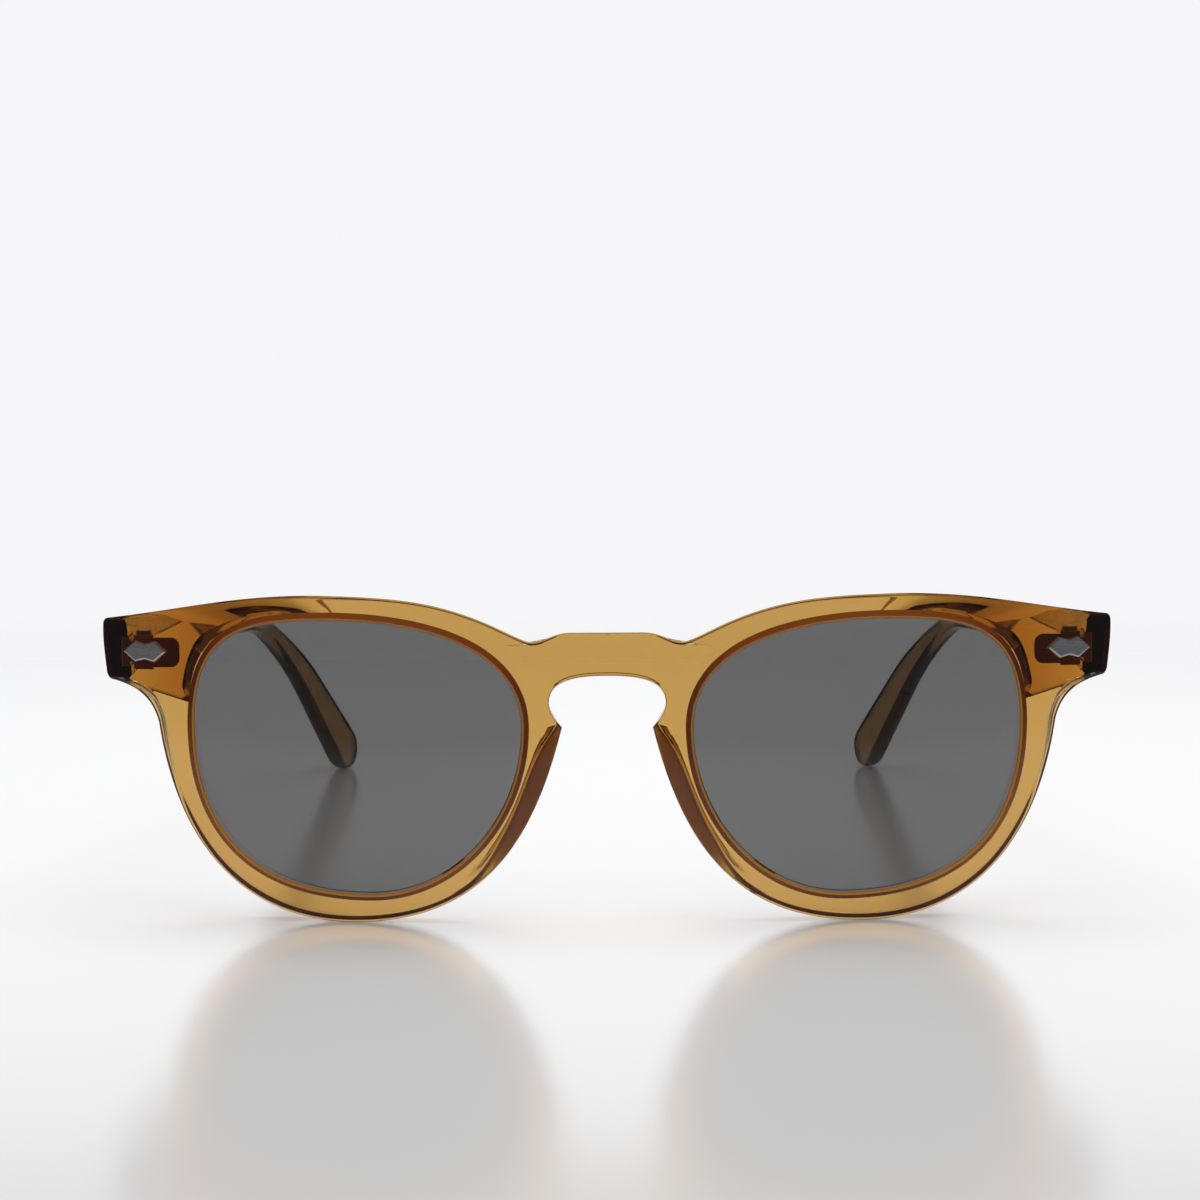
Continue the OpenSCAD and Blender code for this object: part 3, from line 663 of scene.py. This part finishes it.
# Rings of equally many points, joined one after the other and closed at both ends
def prism(name, rings, side):
    m = len(rings[0])
    points = np.concatenate(rings) + shift
    faces = tubeFaces(len(rings), m)
    faces += [list(range(m - 1, -1, -1)), list(range((len(rings) - 1) * m, len(rings) * m))]
    return meshObject(name, points if side > 0 else mirrored(points), faces)


# A profile of radii and rises, turned round an axis
def turned(name, centre, profile, axis, side, steps=64):
    angle = np.arange(steps) * 2 * math.pi / steps
    axis = unit(axis)
    upright = abs(axis[2]) > 0.9
    first = unit(np.cross(axis, point(1, 0, 0) if upright else point(0.31, 0.2, 0.93)))
    second = np.cross(axis, first)
    circle = np.cos(angle)[:, None] * first + np.sin(angle)[:, None] * second
    return prism(name, [centre + axis * rise + circle * radius for radius, rise in profile], side)


def bevelEdges(piece, width, segments, angle):
    bevel = piece.modifiers.new("edges", "BEVEL")
    bevel.width = width * mm
    bevel.segments = segments
    bevel.limit_method = "ANGLE"
    bevel.angle_limit = math.radians(angle)
    settle(piece)


def join(name, pieces):
    work = bmesh.new()
    for piece in pieces:
        work.from_mesh(piece.data)
    mesh = bpy.data.meshes.new(name)
    work.to_mesh(mesh)
    work.free()
    for piece in pieces:
        bpy.data.objects.remove(piece)
    piece = bpy.data.objects.new(name, mesh)
    scene.collection.objects.link(piece)
    return piece


plaque = {
    "length": 6.4,
    "height": 2.86,
    "pitch": 2.9,
    "notch": 0.37,
    "thickness": 0.7,
    "proud": 0.25,
    "inset": 6.2,
    "level": 37.9,
    "stemDiameter": 0.9,
    "stemLength": 1.4,
    "stemSink": 0.2,  # into the plaque
    "stemSteps": 32,
    "bevelWidth": 0.2,
    "bevelHeight": 0.14,
    "edgeRound": 0.03,
    "tipGrows": 1.4,  # a sharp corner moves further than the edges beside it
    "middleGrows": 0.4,
    "sharp": 20,
}


def plaqueFrame():
    x, z = halfWidth - plaque["inset"], plaque["level"]
    slopeX = x / front["faceRadius"] + 2 * front["endSweep"] * max(0, x - front["sweepFrom"])
    slopeZ = (z - midLevel) / front["browRadius"]
    turn = math.atan(slopeX)
    tilt = -math.atan(slopeZ * math.cos(turn))
    rotation = np.array(Matrix.Rotation(turn, 3, "Z") @ Matrix.Rotation(tilt, 3, "X"))
    return point(x, float(faceDepth(x, z)), z), rotation


plaqueAt, plaqueTurn = plaqueFrame()


def onPlaque(points):
    return plaqueAt + np.asarray(points, float) @ plaqueTurn.T


def plaqueOutline(grow):
    tip = plaque["length"] / 2 + plaque["tipGrows"] * grow
    middle = plaque["pitch"] / 2 + plaque["middleGrows"] * grow
    high = plaque["height"] / 2 + grow
    waistHigh = high - plaque["notch"]
    corners = [(-tip, 0), (-middle, high), (0, waistHigh), (middle, high)]
    return corners + [(tip, 0), (middle, -high), (0, -waistHigh), (-middle, -high)]


def plaqueRing(grow, depth):
    return onPlaque([(x, depth, z) for x, z in plaqueOutline(grow)])


def plaqueStem(name, grow, extra, x, side):
    radius = plaque["stemDiameter"] / 2 + grow
    start = plaque["thickness"] - plaque["proud"] - plaque["stemSink"]
    long = plaque["stemLength"] + plaque["stemSink"] + extra
    centre = onPlaque([(x, start, 0)])[0]
    axis = plaqueTurn @ point(0, 1, 0)
    return turned(name, centre, [(radius, 0), (radius, long)], axis, side, plaque["stemSteps"])


def makePlaque(name, side):
    floor = plaque["thickness"] - plaque["proud"]
    body = prism(name + "Body", [
        plaqueRing(0, floor),
        plaqueRing(0, plaque["bevelHeight"] - plaque["proud"]),
        plaqueRing(-plaque["bevelWidth"], -plaque["proud"]),
    ], side)
    bevelEdges(body, plaque["edgeRound"], segments=2, angle=12)
    stems = [plaqueStem(name + "Stem", 0, 0, s * plaque["pitch"] / 2, side) for s in (-1, 1)]
    piece = join(name, [body] + stems)
    smooth(piece, plaque["sharp"])
    return piece


def plaquePocket(side):
    floor, fit = plaque["thickness"] - plaque["proud"] + hinge["fit"], hinge["fit"]
    block = prism("pocketBlock", [plaqueRing(fit, floor), plaqueRing(fit, -2 * cutOver)], side)
    return [block] + [plaqueStem("pocketStem", fit, fit, s * plaque["pitch"] / 2, side) for s in (-1, 1)]


# A hinge plate, flat along x from 0 and round at its far corners
def plateOutline(long, grow):
    half, r = hinge["plateHeight"] / 2 + grow, hinge["plateCorner"] + grow
    end = long + grow
    turns = np.linspace(0, math.pi / 2, hinge["cornerSteps"])
    ring = [(0, -half)]
    ring += [(end - r + r * math.sin(a), -half + r - r * math.cos(a)) for a in turns]
    ring += [(end - r + r * math.cos(a), half - r + r * math.sin(a)) for a in turns]
    return ring + [(0, half)]


def frontPlate(name, grow, side):
    outer = axisX + hinge["barrelDiameter"] / 2 + grow
    ring = plateOutline(hinge["plateLength"], grow)
    levels = (seatDepth - hinge["plateThickness"] - grow, seatDepth)
    rings = [np.array([(outer - x, y, hinge["level"] + z) for x, z in ring]) for y in levels]
    if grow:
        rings[1][:, 1] += cutOver
    return prism(name, rings, side)


leanIn = (temple["spineLevel"] - hinge["level"]) * math.tan(math.radians(temple["lean"]))
innerX = templeX - temple["thickness"] / 2 - leanIn
yawTurn = np.array(Matrix.Rotation(math.radians(temple["hingeYaw"]), 3, "Z"))


def templePlate(name, grow, out, side):
    ring = plateOutline(hinge["plateLength"] + grow, grow)
    rings = []
    for x in (-out, hinge["plateThickness"] + grow):
        local = np.array([(x, hinge["plateStart"] - grow + y, z) for y, z in ring])
        rings.append(point(innerX, buttDepth, hinge["level"]) + local @ yawTurn.T)
    return prism(name, rings, side)


stackHeight = hinge["barrels"] * hinge["barrelHeight"] + (hinge["barrels"] - 1) * hinge["barrelGap"]


def barrelLevel(k):
    return hinge["level"] - stackHeight / 2 + k * (hinge["barrelHeight"] + hinge["barrelGap"])


def barrelAndWeb(k, web, side):
    low, tall, r = barrelLevel(k), hinge["barrelHeight"], hinge["barrelDiameter"] / 2
    bore, e = hinge["screwDiameter"] / 2 + hinge["fit"], hinge["bevel"]
    knee = hinge["bevelKnee"] * e
    profile = [(bore, 0), (r - e, 0), (r - knee, knee), (r, e), (r, tall - e), (r - knee, tall - knee)]
    profile += [(r - e, tall), (bore, tall), (bore, 0)]
    up = point(0, 0, 1)
    barrel = turned("barrel", point(axisX, axisY, low), profile, up, side)
    corners = np.array([(x, y, low) for x, y in web])
    block = prism("web", [corners, corners + up * tall], side)
    inside = r - hinge["webOverlap"]
    foot = point(axisX, axisY, low - cutOver)
    carve(block, [turned("bore", foot, [(inside, 0), (inside, tall + 2 * cutOver)], up, side)])
    bevelEdges(block, hinge["webBevel"], segments=2, angle=50)
    return [barrel, block]


webSink = hinge["plateThickness"] / 2


def makeFrontHinge(name, side):
    r = hinge["barrelDiameter"] / 2
    foot = seatDepth - webSink
    web = [(axisX - r, axisY), (axisX - r, foot), (axisX + r, foot), (axisX + r, axisY)]
    plate = frontPlate(name + "Plate", 0, side)
    bevelEdges(plate, hinge["bevel"], segments=3, angle=30)
    parts = [plate]
    for k in range(0, hinge["barrels"], 2):
        parts += barrelAndWeb(k, web, side)
    piece = join(name, parts)
    smooth(piece, hinge["sharp"])
    return piece


def makeTempleHinge(name, side):
    r = hinge["barrelDiameter"] / 2
    slant = math.tan(math.radians(temple["hingeYaw"]))
    ends = [innerX - slant * (axisY + s * r - buttDepth) + webSink for s in (-1, 1)]
    web = [(axisX, axisY - r), (ends[0], axisY - r), (ends[1], axisY + r), (axisX, axisY + r)]
    plate = templePlate(name + "Plate", 0, 0, side)
    bevelEdges(plate, hinge["bevel"], segments=3, angle=30)
    parts = [plate]
    for k in range(1, hinge["barrels"], 2):
        parts += barrelAndWeb(k, web, side)
    piece = join(name, parts)
    smooth(piece, hinge["sharp"])
    return piece


screw = {
    "endBevel": 0.12,
    "headLift": 0.02,
    "headFoot": ((0.05, 0), (0, 0.06)),  # in from the head's side, up from its foot
    "headTop": ((0, 0.16), (0.05, 0.06), (0.16, 0)),  # in from its side, down from its top
    "slotWidth": 0.35,
    "slotDepth": 0.275,
    "slotReach": 3,  # to either side, past the head
}


def makeScrew(name, side):
    low, r, head = barrelLevel(0), hinge["screwDiameter"] / 2, hinge["headDiameter"] / 2
    foot = barrelLevel(hinge["barrels"] - 1) + hinge["barrelHeight"] + screw["headLift"] - low
    top, e = foot + hinge["headHeight"], screw["endBevel"]
    up = point(0, 0, 1)
    profile = [(r - e, 0), (r, e), (r, foot)]
    profile += [(head - inward, foot + rise) for inward, rise in screw["headFoot"]]
    profile += [(head - inward, top - drop) for inward, drop in screw["headTop"]]
    piece = turned(name, point(axisX, axisY, low), profile, up, side)
    wide, halfSlot, floor = screw["slotReach"], screw["slotWidth"] / 2, low + top - screw["slotDepth"]
    ring = np.array([(axisX + sx * wide, axisY + sy * halfSlot, floor)
                     for sx, sy in ((-1, -1), (1, -1), (1, 1), (-1, 1))])
    carve(piece, [prism("slot", [ring, ring + up * cutOver], side)])
    smooth(piece, hinge["sharp"])
    return piece


def webNotch(side):
    r, fit = hinge["barrelDiameter"] / 2 + hinge["fit"], hinge["fit"]
    low, high = barrelLevel(0) - fit, barrelLevel(0) + stackHeight + fit
    deep, out = seatDepth - webSink - fit, seatDepth + cutOver
    ring = np.array([(axisX - r, deep), (axisX + r, deep), (axisX + r, out), (axisX - r, out)])
    return prism("notch", [np.column_stack([ring, np.full(4, z)]) for z in (low, high)], side)


cutters = []
for side in (1, -1):
    cutters += plaquePocket(side)
    cutters += [frontPlate("platePocket", hinge["fit"], side), webNotch(side)]
carve(frontPiece, cutters)
smooth(frontPiece, front["sharp"])
print("pockets cut", len(frontPiece.data.vertices))


# Materials
def newMaterial(name):
    material = bpy.data.materials.new(name)
    material.use_nodes = True
    nodes = material.node_tree.nodes
    nodes.clear()
    return material, nodes, material.node_tree.links


def add(nodes, kind, **settings):
    node = nodes.new("ShaderNode" + kind)
    for key, value in settings.items():
        setattr(node, key, value)
    return node


plastic = {
    "ior": 1.49,
    "tint": (0.98, 0.97, 0.87, 1),
    "absorbs": (0.79, 0.563, 0.038, 1),
    "density": 600,  # per metre
    "groundRoughness": 0.5,  # in the lens grooves and on the sides of the nose
    # Painted shade in the marked places: a darker tint, with less light let through
    "paintedShadeTint": (0.55, 0.22, 0.02, 1),
    "paintedShadeClear": 0.3,
}
polished = {  # on the front and the temples
    "roughness": (0.012, 0.05),
    "hazeScale": 180,  # per metre
    "hazeDetail": 3,
    "hazeRange": (0.4, 0.75),
    "rippleScale": 110,
    "rippleStrength": 0.25,
    "rippleDepth": 0.02,
}
smoked = {
    "ior": 1.49,
    "tint": (0.985, 0.975, 0.96, 1),
    "absorbs": (0.7, 0.47, 0.07, 1),
    "density": 640,
}
tint = {
    "ior": 1.5,
    "tint": (1, 1, 1, 1),
    "absorbs": (0.02, 0.02, 0.015, 1),
    "density": 1150,
    "roughness": 0.008,
}
satin = {  # grain: noise spots per metre along x, y and z
    "plaque": {"color": (0.42, 0.42, 0.43, 1), "roughness": (0.2, 0.34), "grain": (400, 400, 4000)},
    "hinge": {"color": (0.38, 0.38, 0.39, 1), "roughness": (0.28, 0.42), "grain": (900, 900, 3000)},
    "screw": {"color": (0.68, 0.68, 0.69, 1), "roughness": (0.14, 0.22), "grain": (2500, 2500, 300)},
    "grainDetail": 4,
    "grainRange": (0.3, 0.7),
    "scratchStrength": 0.15,
    "scratchDepth": 0.01,
}


def rangeNode(nodes, source, target):
    node = add(nodes, "MapRange")
    names = ("From Min", "From Max", "To Min", "To Max")
    for key, value in zip(names, source + target):
        node.inputs[key].default_value = value
    return node


def smoothRamp(nodes, links, source, low, high):
    node = add(nodes, "MapRange", interpolation_type="SMOOTHSTEP")
    node.inputs["From Min"].default_value = low
    node.inputs["From Max"].default_value = high
    links.new(source, node.inputs["Value"])
    return node.outputs["Result"]


def mixShaders(nodes, links, share, a, b):
    both = add(nodes, "MixShader")
    for source, socket in zip((share, a, b), both.inputs):
        links.new(source, socket)
    return both.outputs[0]


# Clear or tinted plastic that lets the lamp's light through
def clearMaterial(name, values, polish):
    material, nodes, links = newMaterial(name)
    out = add(nodes, "OutputMaterial")
    shader = add(nodes, "BsdfPrincipled")
    shader.inputs["Transmission Weight"].default_value = 1
    shader.inputs["IOR"].default_value = values["ior"]
    shader.inputs["Base Color"].default_value = values["tint"]
    inside = add(nodes, "VolumeAbsorption")
    inside.inputs["Color"].default_value = values["absorbs"]
    inside.inputs["Density"].default_value = values["density"]
    links.new(inside.outputs[0], out.inputs["Volume"])
    polish(nodes, links, shader)
    clear = add(nodes, "BsdfTransparent")
    path = add(nodes, "LightPath")
    surface = mixShaders(nodes, links, path.outputs["Is Shadow Ray"], shader.outputs[0], clear.outputs[0])
    links.new(surface, out.inputs["Surface"])
    return material


def bumpFrom(nodes, links, height, strength, depth, shader):
    bump = add(nodes, "Bump")
    bump.inputs["Strength"].default_value = strength
    bump.inputs["Distance"].default_value = depth * mm
    links.new(height, bump.inputs["Height"])
    links.new(bump.outputs["Normal"], shader.inputs["Normal"])


# Hazy in places and slightly wavy, as polished sheet plastic is; returns the haze
def templePolish(nodes, links, shader):
    where = add(nodes, "TexCoord")
    haze = add(nodes, "TexNoise")
    haze.inputs["Scale"].default_value = polished["hazeScale"]
    haze.inputs["Detail"].default_value = polished["hazeDetail"]
    links.new(where.outputs["Object"], haze.inputs["Vector"])
    spread = rangeNode(nodes, polished["hazeRange"], polished["roughness"])
    links.new(haze.outputs["Fac"], spread.inputs["Value"])
    links.new(spread.outputs["Result"], shader.inputs["Roughness"])
    wave = add(nodes, "TexNoise")
    wave.inputs["Scale"].default_value = polished["rippleScale"]
    wave.inputs["Detail"].default_value = 0
    links.new(where.outputs["Object"], wave.inputs["Vector"])
    bumpFrom(nodes, links, wave.outputs["Fac"], polished["rippleStrength"], polished["rippleDepth"], shader)
    return spread.outputs["Result"]


# The same with the matt places that meshObject has marked, which also get a darker tint and let less light
# through, as painted shade
def frontPolish(nodes, links, shader):
    haze = templePolish(nodes, links, shader)
    mark = add(nodes, "Attribute", attribute_name="mattAndShade")
    rough = add(nodes, "MapRange")
    rough.inputs["To Max"].default_value = plastic["groundRoughness"]
    links.new(mark.outputs["Fac"], rough.inputs["Value"])
    links.new(haze, rough.inputs["To Min"])
    links.new(rough.outputs["Result"], shader.inputs["Roughness"])
    clear = rangeNode(nodes, (0, 1), (1, plastic["paintedShadeClear"]))
    links.new(mark.outputs["Fac"], clear.inputs["Value"])
    links.new(clear.outputs["Result"], shader.inputs["Transmission Weight"])
    hue = add(nodes, "MixRGB")
    hue.inputs[1].default_value = plastic["tint"]
    hue.inputs[2].default_value = plastic["paintedShadeTint"]
    links.new(mark.outputs["Fac"], hue.inputs[0])
    links.new(hue.outputs[0], shader.inputs["Base Color"])


def lensPolish(nodes, links, shader):
    shader.inputs["Roughness"].default_value = tint["roughness"]


def metalMaterial(name, values):
    material, nodes, links = newMaterial(name)
    out = add(nodes, "OutputMaterial")
    shader = add(nodes, "BsdfPrincipled")
    shader.inputs["Metallic"].default_value = 1
    where = add(nodes, "TexCoord")
    stretch = add(nodes, "Mapping")
    stretch.inputs["Scale"].default_value = values["grain"]
    noise = add(nodes, "TexNoise")
    noise.inputs["Scale"].default_value = 1
    noise.inputs["Detail"].default_value = satin["grainDetail"]
    links.new(where.outputs["Object"], stretch.inputs["Vector"])
    links.new(stretch.outputs["Vector"], noise.inputs["Vector"])
    shade = rangeNode(nodes, satin["grainRange"], values["roughness"])
    links.new(noise.outputs["Fac"], shade.inputs["Value"])
    links.new(shade.outputs["Result"], shader.inputs["Roughness"])
    shader.inputs["Base Color"].default_value = values["color"]
    bumpFrom(nodes, links, noise.outputs["Fac"], satin["scratchStrength"], satin["scratchDepth"], shader)
    links.new(shader.outputs[0], out.inputs["Surface"])
    return material


amber = clearMaterial("amberPlastic", plastic, frontPolish)
smokedAmber = clearMaterial("smokedAmber", smoked, templePolish)
greyTint = clearMaterial("greyTint", tint, lensPolish)
plaqueSteel = metalMaterial("plaqueSteel", satin["plaque"])
hingeSteel = metalMaterial("hingeSteel", satin["hinge"])
screwSteel = metalMaterial("screwSteel", satin["screw"])
print("materials mixed")


def finishPiece(piece, material, body, node):
    piece.data.materials.clear()
    piece.data.materials.append(material)
    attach(piece, body)
    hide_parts(node)


finishPiece(frontPiece, amber, "front", "frame_front")
for side, word in ((1, "left"), (-1, "right")):
    finishPiece(makeLens("lens_" + word + "_tinted", side), greyTint, "front", "lens_" + word)
    finishPiece(makePlaque("plaque_" + word + "_satin", side), plaqueSteel, "front",
                "plaque_" + word)
    finishPiece(makeFrontHinge("hinge_" + word + "_front", side), hingeSteel, "front",
                "front_hinge_" + word)
    finishPiece(makeScrew("screw_" + word + "_slotted", side), screwSteel, "front",
                "hinge_screw_" + word)
    arm = prism("temple_" + word + "_moulded", templeGrid, side)
    carve(arm, [templePlate("armPocket", hinge["fit"], cutOver, side)])
    smooth(arm, temple["sharp"])
    finishPiece(arm, smokedAmber, word + "_temple", "temple_" + word)
    finishPiece(makeTempleHinge("hinge_" + word + "_temple", side), hingeSteel, word + "_temple",
                "temple_hinge_" + word)
print("pieces built")


# Table, backdrop, lamp and camera
studio = {
    "backdrop": (0.925, 0.925, 0.94, 1),
    "fill": 0.62,  # light of the room on matt surfaces
    "frontRoom": 0.1,  # the darker room in front of the glasses, seen through them
    "glossRoom": 0.16,  # and in reflections
    "darkBeside": (0.34, 0.44),  # sideways over depth, from the pale backdrop to the dark room
    "darkBefore": (-0.25, -0.05),
    "darkAbove": (0.24, 0.36),
    "tableColor": (0.94, 0.94, 0.945, 1),
    "tableRoughness": 0.19,
    "tableGloss": 0.35,
    "tableIor": 2,
    "tableHalf": 0.5,  # metres
    "tableFades": (("Y", 1, 0.2, 0.42), ("Y", -1, 0.19, 0.3), ("X", 1, 0.14, 0.3), ("X", -1, 0.14, 0.3)),
    "lampPower": 2.25,
    "lampSize": (0.5, 0.4),
    "lampAt": (0.02, 0.0, 0.52),
    "lampAim": (0, -0.02, 0.02),
}
camera = {
    "at": (-0.0008, -0.4261, 0.0751),
    "down": 4.83,
    "roll": 0.27,
    "lens": 76.5,
    "sensor": 36,
    "clip": (0.01, 20),
}


# The table fades out at its sides, so that it shows no edge
def makeTable():
    half = studio["tableHalf"]
    corners = [(-half, -half, 0), (half, -half, 0), (half, half, 0), (-half, half, 0)]
    mesh = bpy.data.meshes.new("table")
    mesh.from_pydata(corners, [], [(0, 1, 2, 3)])
    table = bpy.data.objects.new("table", mesh)
    scene.collection.objects.link(table)
    material, nodes, links = newMaterial("tableTop")
    out = add(nodes, "OutputMaterial")
    shader = add(nodes, "BsdfPrincipled")
    shader.inputs["Base Color"].default_value = studio["tableColor"]
    shader.inputs["Roughness"].default_value = studio["tableRoughness"]
    shader.inputs["Metallic"].default_value = studio["tableGloss"]
    shader.inputs["IOR"].default_value = studio["tableIor"]
    where = add(nodes, "TexCoord")
    parts = add(nodes, "SeparateXYZ")
    links.new(where.outputs["Object"], parts.inputs[0])
    fades = []
    for axis, sign, low, high in studio["tableFades"]:
        flip = add(nodes, "Math", operation="MULTIPLY")
        flip.inputs[1].default_value = sign
        links.new(parts.outputs[axis], flip.inputs[0])
        fades.append(smoothRamp(nodes, links, flip.outputs[0], low, high))
    while len(fades) > 1:
        most = add(nodes, "Math", operation="MAXIMUM")
        links.new(fades.pop(), most.inputs[0])
        links.new(fades.pop(), most.inputs[1])
        fades.append(most.outputs[0])
    clear = add(nodes, "BsdfTransparent")
    surface = mixShaders(nodes, links, fades[0], shader.outputs[0], clear.outputs[0])
    links.new(surface, out.inputs["Surface"])
    mesh.materials.append(material)


# A pale backdrop for the camera; the plastic and the metal also see a darker room round it
def makeWorld():
    world = bpy.data.worlds.new("studio")
    scene.world = world
    world.use_nodes = True
    nodes, links = world.node_tree.nodes, world.node_tree.links
    nodes.clear()
    out = add(nodes, "OutputWorld")
    where = add(nodes, "TexCoord")
    parts = add(nodes, "SeparateXYZ")
    links.new(where.outputs["Generated"], parts.inputs[0])

    def math2(kind, a, b):
        node = add(nodes, "Math", operation=kind)
        for socket, value in zip(node.inputs, (a, b)):
            if isinstance(value, (int, float)):
                socket.default_value = value
            else:
                links.new(value, socket)
        return node.outputs[0]

    sideways = math2("ABSOLUTE", math2("DIVIDE", parts.outputs["X"], parts.outputs["Y"]), 0)
    beside = smoothRamp(nodes, links, sideways, *studio["darkBeside"])
    before = smoothRamp(nodes, links, math2("MULTIPLY", parts.outputs["Y"], -1), *studio["darkBefore"])
    above = smoothRamp(nodes, links, parts.outputs["Z"], *studio["darkAbove"])
    dark = math2("MAXIMUM", math2("MAXIMUM", beside, before), above)
    room = add(nodes, "MapRange")
    room.inputs["To Min"].default_value = 1
    path = add(nodes, "LightPath")
    lift = math2("MULTIPLY", path.outputs["Is Glossy Ray"], studio["glossRoom"] - studio["frontRoom"])
    links.new(math2("ADD", lift, studio["frontRoom"]), room.inputs["To Max"])
    links.new(dark, room.inputs["Value"])
    shown = add(nodes, "Background")
    shown.inputs["Color"].default_value = studio["backdrop"]
    seen = add(nodes, "Background")
    seen.inputs["Color"].default_value = studio["backdrop"]
    links.new(room.outputs["Result"], seen.inputs["Strength"])
    fill = add(nodes, "Background")
    fill.inputs["Color"].default_value = (1, 1, 1, 1)
    fill.inputs["Strength"].default_value = studio["fill"]
    shiny = math2("MAXIMUM", path.outputs["Is Glossy Ray"], path.outputs["Is Transmission Ray"])
    lit = mixShaders(nodes, links, shiny, fill.outputs[0], seen.outputs[0])
    light = mixShaders(nodes, links, path.outputs["Is Camera Ray"], lit, shown.outputs[0])
    links.new(light, out.inputs["Surface"])


# A wide lamp overhead, which lights the matt surfaces and shows in no reflection
def makeLamp():
    data = bpy.data.lights.new("overheadLamp", "AREA")
    data.shape = "RECTANGLE"
    data.size, data.size_y = studio["lampSize"]
    data.energy = studio["lampPower"]
    lamp = bpy.data.objects.new("overheadLamp", data)
    scene.collection.objects.link(lamp)
    lamp.location = studio["lampAt"]
    toward = Vector(studio["lampAim"]) - Vector(studio["lampAt"])
    lamp.rotation_euler = toward.to_track_quat("-Z", "Y").to_euler()
    lamp.visible_camera = False
    lamp.visible_glossy = False
    lamp.visible_transmission = False


def makeCamera():
    data = bpy.data.cameras.new("camera")
    data.lens = camera["lens"]
    data.sensor_width = camera["sensor"]
    data.clip_start, data.clip_end = camera["clip"]
    view = bpy.data.objects.new("camera", data)
    scene.collection.objects.link(view)
    view.location = camera["at"]
    view.rotation_euler = (math.radians(90 - camera["down"]), math.radians(camera["roll"]), 0)
    scene.camera = view


makeTable()
makeWorld()
makeLamp()
makeCamera()
scene.view_settings.view_transform = "Standard"
print("studio ready")
